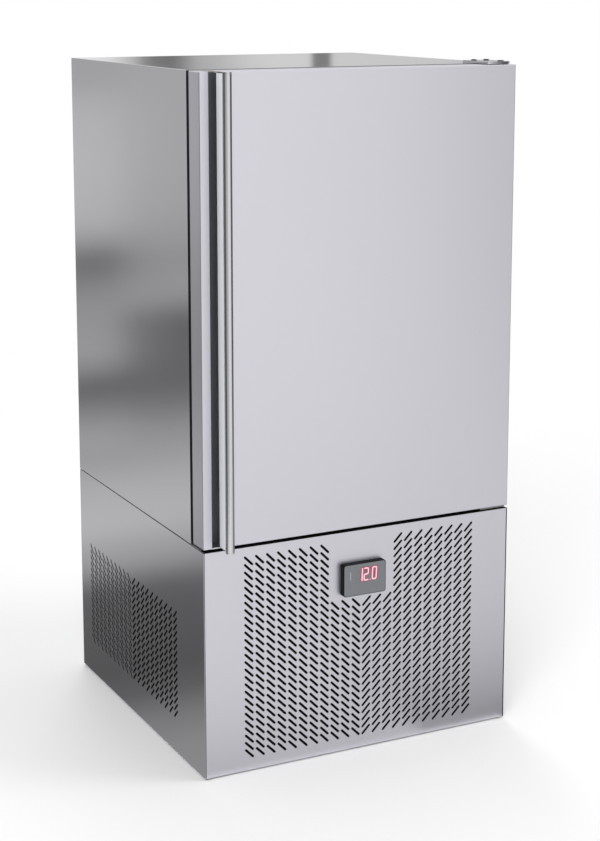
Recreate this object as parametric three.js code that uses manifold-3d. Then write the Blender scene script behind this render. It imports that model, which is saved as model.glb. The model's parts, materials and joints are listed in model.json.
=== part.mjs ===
// Reach-in blast chiller: an insulated cabinet with a side-hung door over a
// ventilated machine compartment. Millimetres, +Z up, the front faces -Y, and
// the origin is on the floor under the middle of the whole machine.
import * as THREE from 'three';
import { mergeVertices } from 'three/addons/utils/BufferGeometryUtils.js';
import Module from 'manifold-3d';

const wasm = await Module();
wasm.setup();

// Overall sizes
const width = 800;
const height = 1600;
const cabinetDepth = 730;
const compartmentHeight = 536;

// Clearances
const fit = 0.3; // between pieces that are bolted, foamed or laid together
const seamGap = 1.5; // line between the cabinet and the lower panels
const doorUnderGap = 7; // lower panel to door
const doorTopGap = 1; // under the hinge bracket
const doorRunGap = 1; // over the lower hinge bracket
const pinPlay = 0.5;

// Insulated cabinet
const wall = 60;
const casingSheet = 1.5;
const linerSheet = 1.5;
const rearSheet = 1.5;
const frameSheet = 3;
const coveRadius = 20;

// Door
const doorThickness = 56;
const gasketGap = 14;
const doorSheet = 1.5;
const dishRise = 8;
const dishMargin = 14;
const gasketWidth = 24;
const gasketLipWidth = 13;
const gasketBaseThickness = 6;
const gasketInset = 4;

// Handle, an extrusion with a finger recess behind a round grip bar
const handleReach = 52;
const gripRadius = 10;
const gripOffset = 6;
const stripWidth = 21;
const recessWidth = 19;
const recessDepth = 42;
const channelWall = 3;
const webThickness = 4;
const capThickness = 3;

// Hinge
const pivotInset = 25;
const pinRadius = 6;
const pinSides = 12;
const pinLength = 27;
const bushWall = 3.5;
const bushLength = 30;
const bracketWidth = 68;
const bracketBack = 48;
const bracketFront = 20;
const bracketThickness = 6;
const bracketChamfer = 14;
const bracketInset = 4; // cabinet side to the brackets
const lowerBracketThickness = 4.5;

// Rack and shelves
const rackDepth = 40; // cavity wall to the tray's edge
const trayDepth = 400;
const levelPitch = 84;
const firstLevel = 62;
const lastLevelRoom = 110; // least height over the top ledge
const ledgeLength = 420;
const ledgeCover = 14;
const ledgeLip = 14;
const rackSheet = 2;
const rackFrontInset = 14;
const uprightWidth = 30;
const uprightInset = 40;
const uprightClear = 26; // cavity floor to the uprights, and the uprights over the top ledge
const shelvedLevels = [2, 6];
const shelfRod = 6;
const shelfWire = 4;
const shelfWireCount = 9;

// Air side of the cabinet
const plenumDepth = 190;
const cowlSheet = 1.5;
const cowlReturn = 10;
const cowlFloorGap = 44;
const cowlTopGap = 40;
const fanRadius = 135;
const fanHubRadius = 42;
const fanDepth = 34;
const fanSetback = 14;
const fanBladeCount = 5;
const bladeThickness = 2.4;
const fanPort = 145;
const motorRadius = 46;
const motorLength = 30;
const shaftRadius = 5;
const armWidth = 12;
const armReach = 158;
const armDepth = 8;
const guardWire = 3.5;
const guardRings = [62, 134];
const guardSides = 12;
const coilSideGap = 80;
const coilDepth = 86;
const coilFloorGap = 56;
const coilTopGap = 44;
const finCount = 14;
const finThickness = 4;
const trayPanDepth = 26;
const trayPanLength = 118;
const trayPanSideGap = 50;
const trayPanSheet = 2;
const drainRadius = 11;
const drainWall = 2;
const drainDrop = 42;
const drainInset = 32;
const probeRadius = 13;
const probeNeck = 9;
const probeFlange = 5;
const probeLength = 16;
const probeDrop = 50;
const probeInset = 60;

// Machine compartment
const panelSheet = 1.5;
const panelDepth = 22;
const skirtGap = 4;
const skirtReturn = 15;
const cornerSeam = 0.8;
const railSize = 30;
const postSize = 40;
const postSheet = 2.5;
const baseSheet = 2;
const baseHeight = 20;
const baseEdge = 25;
const footInset = 52;
const footPad = 20;
const footPadHeight = 6;
const footCollar = 13;
const footStem = 6;
const footStemLength = 28;

// Slotted grilles: rows of 45 degree slots, mirrored about the middle
const slotAngle = Math.PI / 4;
const frontGrille = {
  halfSpan: 300, columns: 6, rows: 14, top: 496, pitch: 33.8, length: 46, slot: 7,
};
const sideGrille = {
  halfSpan: 290, columns: 4, rows: 6, top: 331, pitch: 44, length: 52, slot: 8,
};
const sideGrilleFront = 153; // front edge of the side to the slotted field
const rearGrille = { count: 6, pitch: 34, length: 180, slot: 8, height: 330 };

// Controller
const controllerWidth = 111;
const controllerTall = 77;
const controllerHeight = 423.5;
const controllerProud = 17;
const controllerBezel = 1;
const controllerCorner = 6;
const controllerBody = 58;
const controllerShoulder = 6;
const lensThickness = 1.5;

// Refrigeration plant
const condenserSideGap = 118;
const condenserTall = 330;
const condenserDepth = 62;
const condenserSetback = 52;
const shroudDepth = 16;
const shroudSheet = 1.5;
const condenserFanRadius = 142;
const condenserPort = 152;
const condenserMotorLength = 60;
const potRadius = 108;
const potTall = 250;
const potSideGap = 100;
const potRearGap = 127;
const potBulge = 3;
const potShoulder = 35;
const potPlate = 4;
const potPlateProud = 16;
const potMountRadius = 12;
const potMount = 16;
const receiverRadius = 55;
const receiverTall = 230;
const receiverNeck = 26;
const receiverFoot = 16; // its rounded bottom
const receiverDome = 20;
const receiverX = 130;
const receiverRearGap = 72;
const drierRadius = 22;
const drierLength = 120;
const drierTaper = 16;
const boxWidth = 130;
const boxLength = 210;
const boxTall = 290;
const boxSideGap = 23;
const boxRearGap = 252;
const boxLid = 12;
const boxLidProud = 6;
const pipeRadius = 8;
const pipeSides = 6;
const pipeClear = 1.1;
const pipeSideGap = 115;
const pipeSpacing = 45;
const pipeInset = 30;
const pipeStub = 16;
const pipeBend = 60;
const riserDrop = 80;
const glandRadius = 14;
const glandFlange = 5;
const glandProud = 14;
const glandInside = 18;
const glandSideGap = 98;
const glandHeight = 110;

// Places worked out from the sizes
const side = width / 2;
const depth = handleReach + doorThickness + gasketGap + cabinetDepth + glandProud;
const backY = depth / 2 - glandProud;
const cabinetFront = backY - cabinetDepth;
const doorRear = cabinetFront - gasketGap;
const doorFront = doorRear - doorThickness;
const doorBottom = compartmentHeight + doorUnderGap;
const doorTop = height - doorTopGap;
const cabinetBottom = compartmentHeight + seamGap;
const cavitySide = side - wall;
const cavityFloor = cabinetBottom + wall;
const cavityTop = height - wall;
const cavityBack = backY - wall;
const trayWidth = 2 * (cavitySide - rackDepth);
const levelRoom = cavityTop - cavityFloor - firstLevel - lastLevelRoom;
const levelCount = 1 + Math.floor(levelRoom / levelPitch);
const pivotX = side - pivotInset;
const pivotY = (doorFront + doorRear) / 2;
const stripEdge = -side + stripWidth;
const webLeft = stripEdge + recessWidth;
const webRight = webLeft + webThickness;
const recessFloor = doorFront + recessDepth;
const channelRear = recessFloor + channelWall;
const cowlFront = cavityBack - plenumDepth;
const rackFront = cabinetFront + rackFrontInset;
const cowlBottom = cavityFloor + cowlFloorGap;
const cowlTop = cavityTop - cowlTopGap;
const fanRise = (cowlTop - cowlBottom) / 4;
const fanHeights = { lower: cowlBottom + fanRise, upper: cowlTop - fanRise };
const frameSide = side - panelSheet - fit;
const frameFront = doorFront + panelDepth + fit;
const frameRear = backY - rearSheet - fit;
const railTop = cabinetBottom;
const railBottom = railTop - railSize;
const baseTop = baseHeight + baseSheet;
const condenserSide = frameSide - condenserSideGap;
const glandX = frameSide - glandSideGap;
const drainY = cavityBack - drainInset;
const lineY = cavityBack - pipeInset;

// Materials
const finish = (color, metalness, roughness) =>
  new THREE.MeshStandardMaterial({ color, metalness, roughness });
const steel = finish(0xc4c3c8, 0.9, 0.35);
const linerSteel = finish(0xb9bbbd, 0.9, 0.3);
const foam = finish(0xd9c98f, 0, 0.95);
const seal = finish(0x1c1d1f, 0, 0.7);
const aluminium = finish(0xc9cacc, 0.9, 0.3);
const zinc = finish(0x9b9da0, 0.85, 0.45);
const blackPaint = finish(0x1b1c1e, 0.1, 0.5);
const copper = finish(0xb06a3c, 0.95, 0.35);
const plastic = finish(0x232427, 0, 0.5);
const lensPlastic = finish(0x7a7d7f, 0, 0.15);

// Shapes
function box(x0, x1, y0, y1, z0, z1) {
  const geometry = new THREE.BoxGeometry(x1 - x0, y1 - y0, z1 - z0);
  return geometry.translate((x0 + x1) / 2, (y0 + y1) / 2, (z0 + z1) / 2);
}

function rectangle(x0, x1, y0, y1, Kind = THREE.Shape) {
  const outline = new Kind();
  outline.moveTo(x0, y0);
  outline.lineTo(x1, y0);
  outline.lineTo(x1, y1);
  outline.lineTo(x0, y1);
  outline.closePath();
  return outline;
}

function roundedRectangle(x0, x1, y0, y1, r, Kind = THREE.Shape) {
  const outline = new Kind();
  outline.absarc(x1 - r, y0 + r, r, -Math.PI / 2, 0);
  outline.absarc(x1 - r, y1 - r, r, 0, Math.PI / 2);
  outline.absarc(x0 + r, y1 - r, r, Math.PI / 2, Math.PI);
  outline.absarc(x0 + r, y0 + r, r, Math.PI, Math.PI * 1.5);
  outline.closePath();
  return outline;
}

function circle(radius, sides, Kind = THREE.Shape, x = 0, y = 0) {
  const corners = [];
  for (let i = 0; i < sides; i += 1) {
    const turn = (i * Math.PI * 2) / sides;
    corners.push(new THREE.Vector2(x + radius * Math.cos(turn), y + radius * Math.sin(turn)));
  }
  return new Kind(corners);
}

// An outline drawn in X and Y rises along Z from one height to another
function prismZ(outline, z0, z1, curveSegments = 3) {
  const depth = z1 - z0;
  const geometry = new THREE.ExtrudeGeometry(outline, { depth, curveSegments, bevelEnabled: false });
  return geometry.translate(0, 0, z0);
}

// An outline drawn in X and Z runs along Y
function prismY(outline, y0, y1, curveSegments = 3) {
  const turn = new THREE.Matrix4().makeBasis(
    new THREE.Vector3(1, 0, 0), new THREE.Vector3(0, 0, 1), new THREE.Vector3(0, -1, 0));
  return prismZ(outline, -y1, -y0, curveSegments).applyMatrix4(turn);
}

// An outline drawn in Y and Z runs along X
function prismX(outline, x0, x1, curveSegments = 3) {
  const turn = new THREE.Matrix4().makeBasis(
    new THREE.Vector3(0, 1, 0), new THREE.Vector3(0, 0, 1), new THREE.Vector3(1, 0, 0));
  return prismZ(outline, x0, x1, curveSegments).applyMatrix4(turn);
}

// A profile of [radius, height] pairs, from the axis round to the axis, turned about Z
function turned(profile, segments = 20) {
  const points = profile.map(([radius, level]) => new THREE.Vector2(radius, level));
  return new THREE.LatheGeometry(points, segments).rotateX(Math.PI / 2);
}

function rod(radius, z0, z1, segments = 12) {
  return turned([[0, z0], [radius, z0], [radius, z1], [0, z1]], segments);
}

function tube(points, radius, steps) {
  const path = new THREE.CatmullRomCurve3(points, false, 'centripetal');
  return new THREE.ExtrudeGeometry(circle(radius, pipeSides), {
    steps, extrudePath: path, bevelEnabled: false,
  });
}

// Joining and cutting
function toSolid(geometry) {
  const bare = geometry.clone();
  bare.deleteAttribute('normal');
  bare.deleteAttribute('uv');
  const merged = mergeVertices(bare, 1e-4);
  const corners = merged.index.array;
  const kept = [];
  for (let i = 0; i < corners.length; i += 3) {
    const [a, b, c] = [corners[i], corners[i + 1], corners[i + 2]];
    if (a !== b && b !== c && c !== a) kept.push(a, b, c);
  }
  return new wasm.Manifold(new wasm.Mesh({
    numProp: 3,
    vertProperties: new Float32Array(merged.attributes.position.array),
    triVerts: new Uint32Array(kept),
  }));
}

function toGeometry(solid) {
  const mesh = solid.getMesh();
  const geometry = new THREE.BufferGeometry();
  geometry.setAttribute('position', new THREE.BufferAttribute(new Float32Array(mesh.vertProperties), 3));
  geometry.setIndex(new THREE.BufferAttribute(new Uint32Array(mesh.triVerts), 1));
  geometry.computeVertexNormals();
  return geometry;
}

function join(first, ...others) {
  return toGeometry(others.reduce((whole, piece) => whole.add(toSolid(piece)), toSolid(first)));
}

function cut(first, ...tools) {
  return toGeometry(tools.reduce((whole, tool) => whole.subtract(toSolid(tool)), toSolid(first)));
}

// The machine
const chiller = new THREE.Group();
const cabinet = new THREE.Group();
const door = new THREE.Group();
const compartment = new THREE.Group();
chiller.add(cabinet, door, compartment);

function piece(group, name, geometry, material, x = 0, y = 0, z = 0) {
  const mesh = new THREE.Mesh(geometry, material);
  mesh.name = name;
  mesh.position.set(x, y, z);
  group.add(mesh);
  return mesh;
}

// Holes through the cabinet floor for the drain and the two refrigerant lines
const lineXs = [-cavitySide + pipeSideGap, -cavitySide + pipeSideGap - pipeSpacing];
const floorHoles = [
  [drainRadius + fit, 12, 0, drainY],
  ...lineXs.map((x) => [pipeRadius + pipeClear, 8, x, lineY]),
].map(([radius, sides, x, y]) =>
  rod(radius, cabinetBottom - wall, cavityFloor + wall, sides).translate(x, y, 0));

// The upper hinge bracket in plan, grown by a clearance, from its front edge or the cabinet's
function bracketOutline(grow, front) {
  const outline = new THREE.Shape();
  const right = side - bracketInset + grow;
  const left = side - bracketInset - bracketWidth - grow;
  const back = cabinetFront + bracketBack + grow;
  const chamfer = front < doorRear ? bracketChamfer : 0;
  outline.moveTo(left, front);
  outline.lineTo(right - chamfer, front);
  if (chamfer > 0) outline.lineTo(right, front + chamfer);
  outline.lineTo(right, back - bracketChamfer);
  outline.lineTo(right - bracketChamfer, back);
  outline.lineTo(left, back);
  outline.closePath();
  return outline;
}

function buildCasing() {
  const outline = rectangle(-side, side, cabinetBottom, height);
  const inner = side - casingSheet;
  outline.holes.push(rectangle(-inner, inner, cabinetBottom + casingSheet, height - casingSheet, THREE.Path));
  const shell = prismY(outline, cabinetFront, backY - rearSheet);
  const bracketSeat = prismZ(bracketOutline(fit, cabinetFront - 1), height - 2 * casingSheet, height + 1);
  piece(cabinet, 'outer_casing', cut(shell, bracketSeat, ...floorHoles), steel);
  piece(cabinet, 'rear_panel', box(-side, side, backY - rearSheet, backY, cabinetBottom, height), steel);
}

function linerOutline(offset, Kind = THREE.Shape) {
  return roundedRectangle(-cavitySide - offset, cavitySide + offset,
    cavityFloor - offset, cavityTop + offset, coveRadius + offset, Kind);
}

function buildLiner() {
  const shell = prismY(linerOutline(linerSheet), cabinetFront, cavityBack + linerSheet);
  const hollow = prismY(linerOutline(0), cabinetFront - wall, cavityBack);
  piece(cabinet, 'inner_liner', cut(shell, hollow, ...floorHoles), linerSteel);

  const inner = side - casingSheet - fit;
  const bottom = cabinetBottom + casingSheet + fit;
  const top = height - casingSheet - fit;
  const ring = rectangle(-inner, inner, bottom, top);
  ring.holes.push(linerOutline(linerSheet + fit, THREE.Path));
  piece(cabinet, 'front_frame', prismY(ring, cabinetFront, cabinetFront + frameSheet), plastic);

  const foamFront = cabinetFront + frameSheet + fit;
  const block = box(-inner, inner, foamFront, backY - rearSheet - fit, bottom, top);
  const room = prismY(linerOutline(linerSheet + fit), cabinetFront, cavityBack + linerSheet + fit);
  piece(cabinet, 'cabinet_insulation', cut(block, room, ...floorHoles), foam);
}

// A rack side has two uprights on the cavity wall, with an angle ledge across them for each tray
function buildRack(name, hand) {
  const wallFace = cavitySide - fit;
  const lipFace = trayWidth / 2 + rackSheet;
  const ledgeEnd = trayWidth / 2 - ledgeCover;
  const bottom = cavityFloor + uprightClear;
  const top = cavityFloor + firstLevel + levelPitch * (levelCount - 1) + uprightClear;
  const [near, far] = [hand * (lipFace + rackSheet), hand * wallFace];
  const parts = [uprightInset, ledgeLength - uprightInset - uprightWidth].map((inset) =>
    box(Math.min(near, far), Math.max(near, far), rackFront + inset, rackFront + inset + uprightWidth,
      bottom, top));
  for (let level = 0; level < levelCount; level += 1) {
    const z = cavityFloor + firstLevel + level * levelPitch;
    const angle = new THREE.Shape();
    angle.moveTo(hand * ledgeEnd, z - rackSheet);
    angle.lineTo(hand * (lipFace + rackSheet), z - rackSheet);
    angle.lineTo(hand * (lipFace + rackSheet), z + ledgeLip);
    angle.lineTo(hand * lipFace, z + ledgeLip);
    angle.lineTo(hand * lipFace, z);
    angle.lineTo(hand * ledgeEnd, z);
    angle.closePath();
    parts.push(prismY(angle, rackFront, rackFront + ledgeLength));
  }
  piece(cabinet, name, join(...parts), linerSteel);
}

function buildShelf(name, level) {
  const half = trayWidth / 2;
  const z = cavityFloor + firstLevel + level * levelPitch + fit;
  const rim = rectangle(-half, half, 0, trayDepth);
  rim.holes.push(rectangle(-half + shelfRod, half - shelfRod, shelfRod, trayDepth - shelfRod, THREE.Path));
  const wires = [];
  for (let i = 1; i <= shelfWireCount; i += 1) {
    const x = -half + (trayWidth * i) / (shelfWireCount + 1) - shelfWire / 2;
    wires.push(box(x, x + shelfWire, shelfWire, trayDepth - shelfWire, shelfRod - shelfWire, shelfRod));
  }
  piece(cabinet, name, join(prismZ(rim, 0, shelfRod), ...wires), linerSteel, 0, rackFront + fit, z);
}

// A fan wheel turned about Z, its hub bored for the shaft, with twisted blades
function fanWheel(radius, hubRadius, depth, bladeCount) {
  const hub = turned([[0, 0], [hubRadius * 0.8, 0], [hubRadius, depth * 0.2],
    [hubRadius, depth], [0, depth]], 12);
  const blades = [];
  const root = hubRadius * 0.7;
  const span = radius - root;
  for (let i = 0; i < bladeCount; i += 1) {
    const blade = new THREE.BoxGeometry(span, depth * 1.9, bladeThickness, 2, 1, 1);
    const place = blade.attributes.position;
    for (let v = 0; v < place.count; v += 1) {
      const along = place.getX(v) / span + 0.5;
      const pitch = 0.75 - 0.32 * along;
      const chord = place.getY(v) * (0.62 + 0.38 * along);
      const lift = place.getZ(v);
      place.setXYZ(v, root + along * span,
        chord * Math.cos(pitch) - lift * Math.sin(pitch) + 10 * along * along,
        depth / 2 + chord * Math.sin(pitch) * 0.7 + lift * Math.cos(pitch));
    }
    blades.push(blade.rotateZ((i * Math.PI * 2) / bladeCount));
  }
  return cut(join(hub, ...blades), rod(shaftRadius + pinPlay, depth * 0.3, depth + 1, 12));
}

// A motor behind its wheel, held by three arms that run forward to a plate
function fanMotor(radius, length, shaftLength, reach, armForward) {
  const body = turned([[0, 0], [radius * 0.9, 0], [radius, length * 0.15],
    [radius, length * 0.85], [radius * 0.8, length], [0, length]], 10);
  const arms = [];
  for (let i = 0; i < 3; i += 1) {
    const turn = Math.PI / 2 + (i * Math.PI * 2) / 3;
    const arm = box(0, reach, -armWidth / 2, armWidth / 2, 2, 2 + armDepth);
    const leg = box(reach - armDepth, reach, -armWidth / 2, armWidth / 2, -armForward, 2 + armDepth);
    arms.push(arm.rotateZ(turn), leg.rotateZ(turn));
  }
  return join(body, rod(shaftRadius, -shaftLength, 1, 12), ...arms);
}

// A flat wire guard: rings on a cross that is clipped to the plate behind it
function fanGuard(rings, wire, reach) {
  const parts = rings.map((radius) => {
    const ring = circle(radius + wire / 2, guardSides);
    ring.holes.push(circle(radius - wire / 2, guardSides, THREE.Path));
    return prismZ(ring, 0, wire);
  });
  for (const turn of [0, Math.PI / 2]) {
    const spoke = box(-reach, reach, -wire / 2, wire / 2, 0, wire);
    parts.push(spoke.rotateZ(turn + Math.PI / 4));
  }
  return join(...parts);
}

// Pieces drawn about Z are laid along +Y, with their z = 0 end to the front
const alongY = (geometry) => geometry.clone().rotateX(-Math.PI / 2);

function finnedCoil(coilSpan, depth, z0, z1) {
  const comb = new THREE.Shape();
  const pitch = (coilSpan - finThickness) / (finCount - 1);
  const spine = depth * 0.55;
  comb.moveTo(-coilSpan / 2, depth);
  for (let i = 0; i < finCount; i += 1) {
    const x = -coilSpan / 2 + i * pitch;
    if (i > 0) comb.lineTo(x, depth - spine);
    comb.lineTo(x, 0);
    comb.lineTo(x + finThickness, 0);
    if (i < finCount - 1) comb.lineTo(x + finThickness, depth - spine);
  }
  comb.lineTo(coilSpan / 2, depth);
  comb.closePath();
  return prismZ(comb, z0, z1);
}

function buildAirSide() {
  const plateSide = cavitySide - fit;
  const plate = rectangle(-plateSide, plateSide, cowlBottom, cowlTop);
  for (const z of Object.values(fanHeights)) plate.holes.push(circle(fanPort, 28, THREE.Path, 0, z));
  const cowlBack = cowlFront + cowlSheet;
  const returns = [cowlBottom, cowlTop - cowlSheet].map((z) =>
    box(-plateSide, plateSide, cowlFront, cowlFront + cowlReturn, z, z + cowlSheet));
  piece(cabinet, 'fan_cowl', join(prismY(plate, cowlFront, cowlBack), ...returns), linerSteel);

  const wheel = alongY(fanWheel(fanRadius, fanHubRadius, fanDepth, fanBladeCount));
  const wheelFront = cowlBack + fanSetback;
  const motorFront = wheelFront + fanDepth + 2 * fit;
  const armForward = motorFront - cowlBack - fit;
  const motor = alongY(fanMotor(motorRadius, motorLength, fanDepth / 2, armReach, armForward));
  const guard = alongY(fanGuard(guardRings, guardWire, armReach));
  for (const [name, z] of Object.entries(fanHeights)) {
    piece(cabinet, `evaporator_fan_${name}`, wheel, plastic, 0, wheelFront, z);
    piece(cabinet, `fan_motor_${name}`, motor, blackPaint, 0, motorFront, z);
    piece(cabinet, `fan_guard_${name}`, guard, zinc, 0, cowlFront - guardWire - fit, z);
  }

  const coilWidth = 2 * (cavitySide - coilSideGap);
  const coil = finnedCoil(coilWidth, coilDepth, cavityFloor + coilFloorGap, cavityTop - coilTopGap);
  piece(cabinet, 'evaporator_coil', coil, aluminium, 0, cavityBack - coilDepth - fit, 0);

  const panBack = cavityBack - fit;
  const panFront = panBack - trayPanLength;
  const panBottom = cavityFloor + fit;
  const panSide = cavitySide - trayPanSideGap;
  const pan = box(-panSide, panSide, panFront, panBack, panBottom, panBottom + trayPanDepth);
  const panRoom = box(-panSide + trayPanSheet, panSide - trayPanSheet, panFront + trayPanSheet,
    panBack - trayPanSheet, panBottom + trayPanSheet, panBottom + trayPanDepth + 1);
  const lineHoles = lineXs.map((x) => rod(pipeRadius + pipeClear, panBottom - 1, panBottom + wall, 8)
    .translate(x, lineY, 0));
  const drainHole = rod(drainRadius + fit, panBottom - 1, panBottom + wall).translate(0, drainY, 0);
  piece(cabinet, 'drip_tray', cut(pan, panRoom, drainHole, ...lineHoles), linerSteel);

  const drain = circle(drainRadius, 12);
  drain.holes.push(circle(drainRadius - drainWall, 12, THREE.Path));
  const drainTop = panBottom + trayPanSheet;
  piece(cabinet, 'drain_tube', prismZ(drain, cabinetBottom - drainDrop, drainTop), plastic, 0, drainY, 0);

  const gland = turned([[0, 0], [probeRadius, 0], [probeRadius, probeFlange],
    [probeNeck, probeFlange + 2], [probeNeck, probeLength], [0, probeLength]], 12).rotateY(-Math.PI / 2);
  piece(cabinet, 'probe_gland', gland, plastic, cavitySide - fit, rackFront + probeInset,
    cavityTop - probeDrop);
}

// The round grip in plan, from the right side of the web round to its left
function addGrip(outline) {
  const gripX = webLeft + gripOffset;
  const gripY = doorFront - handleReach + gripRadius;
  const angleAt = (x) => Math.atan2(Math.sqrt(gripRadius ** 2 - (x - gripX) ** 2), x - gripX);
  outline.absarc(gripX, gripY, gripRadius, angleAt(webRight), angleAt(webLeft), true);
}

// The recess and grip are one extrusion, drawn in plan
function handleOutline() {
  const outline = new THREE.Shape();
  const wallFront = doorFront + doorSheet + fit;
  outline.moveTo(stripEdge - channelWall, wallFront);
  outline.lineTo(stripEdge - channelWall, channelRear);
  outline.lineTo(webRight, channelRear);
  addGrip(outline);
  outline.lineTo(webLeft, recessFloor);
  outline.lineTo(stripEdge, recessFloor);
  outline.lineTo(stripEdge, wallFront);
  outline.closePath();
  return outline;
}

function capOutline(closesRecess) {
  const outline = new THREE.Shape();
  const left = closesRecess ? stripEdge - channelWall : webLeft;
  const wallFront = doorFront + doorSheet + fit;
  outline.moveTo(left, wallFront);
  outline.lineTo(left, channelRear);
  outline.lineTo(webRight, channelRear);
  addGrip(outline);
  outline.lineTo(webLeft, wallFront);
  outline.closePath();
  return outline;
}

function buildDoor() {
  const shell = box(-side, side, doorFront, doorRear, doorBottom, doorTop);
  const room = box(-side + doorSheet, side - doorSheet, doorFront + doorSheet, doorRear + 1,
    doorBottom + doorSheet, doorTop - doorSheet);
  const channelRoom = [
    box(stripEdge, webRight + fit, doorFront - 1, channelRear + fit, doorBottom - 1, doorTop + 1),
    box(stripEdge - channelWall - fit, webRight + fit, doorFront + doorSheet, channelRear + fit,
      doorBottom - 1, doorTop + 1),
  ];
  const bushOuter = pinRadius + pinPlay + bushWall;
  const bushRooms = [
    rod(bushOuter + fit, doorTop - bushLength - fit, doorTop + 1, pinSides),
    rod(bushOuter + fit, doorBottom - 1, doorBottom + bushLength + fit, pinSides),
  ].map((room_) => room_.translate(pivotX, pivotY, 0));
  piece(door, 'door_outer_skin', cut(shell, room, ...channelRoom, ...bushRooms), steel);

  const inset = doorSheet + fit;
  const slab = box(-side + inset, side - inset, doorFront + inset, doorRear - inset,
    doorBottom + inset, doorTop - inset);
  piece(door, 'door_insulation', cut(slab, ...channelRoom, ...bushRooms), foam);

  const dishSide = cavitySide - dishMargin;
  const dishBottom = cavityFloor + dishMargin;
  const dishTop = cavityTop - dishMargin;
  const sheet = box(-side + inset, side - inset, doorRear - doorSheet, doorRear,
    doorBottom + inset, doorTop - inset);
  const dish = prismY(roundedRectangle(-dishSide, dishSide, dishBottom, dishTop, coveRadius),
    doorRear - doorSheet, doorRear + dishRise);
  const hollow = prismY(roundedRectangle(-dishSide + doorSheet, dishSide - doorSheet,
    dishBottom + doorSheet, dishTop - doorSheet, coveRadius - doorSheet),
  doorRear - doorSheet * 2, doorRear + dishRise - doorSheet);
  piece(door, 'door_inner_panel', cut(join(sheet, dish), hollow), linerSteel);

  const gasketRing = (margin, breadth, y0, y1) => {
    const inner = margin + (gasketWidth - breadth) / 2;
    const outer = inner + breadth;
    const outline = roundedRectangle(-cavitySide - outer, cavitySide + outer,
      cavityFloor - outer, cavityTop + outer, coveRadius);
    outline.holes.push(roundedRectangle(-cavitySide - inner, cavitySide + inner,
      cavityFloor - inner, cavityTop + inner, coveRadius / 2, THREE.Path));
    return prismY(outline, y0, y1, 2);
  };
  const gasketBack = doorRear + fit + gasketBaseThickness;
  piece(door, 'door_gasket', join(
    gasketRing(gasketInset, gasketWidth, doorRear + fit, gasketBack),
    gasketRing(gasketInset, gasketLipWidth, gasketBack - 1, cabinetFront - fit)), seal);

  const profileBottom = doorBottom + capThickness + fit;
  const profileTop = doorTop - capThickness - fit;
  piece(door, 'handle_profile', prismZ(handleOutline(), profileBottom, profileTop, 16), aluminium);
  piece(door, 'handle_cap_bottom',
    prismZ(capOutline(true), doorBottom, doorBottom + capThickness, 16), aluminium);
  piece(door, 'handle_cap_top', prismZ(capOutline(false), doorTop - capThickness, doorTop, 16), aluminium);

  const bush = circle(bushOuter, pinSides);
  bush.holes.push(circle(pinRadius + pinPlay, pinSides, THREE.Path));
  piece(door, 'hinge_bush_top', prismZ(bush, doorTop - bushLength, doorTop), plastic, pivotX, pivotY, 0);
  piece(door, 'hinge_bush_bottom', prismZ(bush, doorBottom, doorBottom + bushLength), plastic,
    pivotX, pivotY, 0);
}

function buildHinges() {
  const top = prismZ(bracketOutline(0, pivotY - bracketFront), height, height + bracketThickness);
  const foot = prismZ(bracketOutline(0, cabinetFront), height - casingSheet, height + 1);
  const topPin = rod(pinRadius, height - pinLength, height + 1, pinSides).translate(pivotX, pivotY, 0);
  piece(cabinet, 'upper_hinge_bracket', join(top, foot, topPin), steel);

  const plateTop = doorBottom - doorRunGap;
  const plateBottom = plateTop - lowerBracketThickness;
  const right = side - bracketInset;
  const plate = box(right - bracketWidth, right, pivotY - bracketFront, frameFront + railSize,
    plateBottom, plateTop);
  const lowPin = rod(pinRadius, plateBottom + 1, plateTop + pinLength, pinSides).translate(pivotX, pivotY, 0);
  piece(compartment, 'lower_hinge_bracket', join(plate, lowPin), zinc);
}

// A field of slots mirrored about u = 0, leaning to meet in a V
function slotField(grille, centreU, hand, isKept) {
  const slots = [];
  const pitchU = grille.halfSpan / grille.columns;
  for (const half of [-1, 1]) {
    for (let column = 0; column < grille.columns; column += 1) {
      for (let row = 0; row < grille.rows; row += 1) {
        const u = half * (column + 0.5) * pitchU;
        const v = grille.top - row * grille.pitch;
        if (!isKept(u, v)) continue;
        const lean = half * hand * slotAngle;
        const [dirU, dirV] = [Math.cos(lean), Math.sin(lean)];
        const corner = (along, across) => new THREE.Vector2(
          centreU + u + dirU * along - dirV * across, v + dirV * along + dirU * across);
        const [a, b] = [grille.length / 2, grille.slot / 2];
        slots.push(new THREE.Path([corner(-a, -b), corner(a, -b), corner(a, b), corner(-a, b)]));
      }
    }
  }
  return slots;
}

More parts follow.
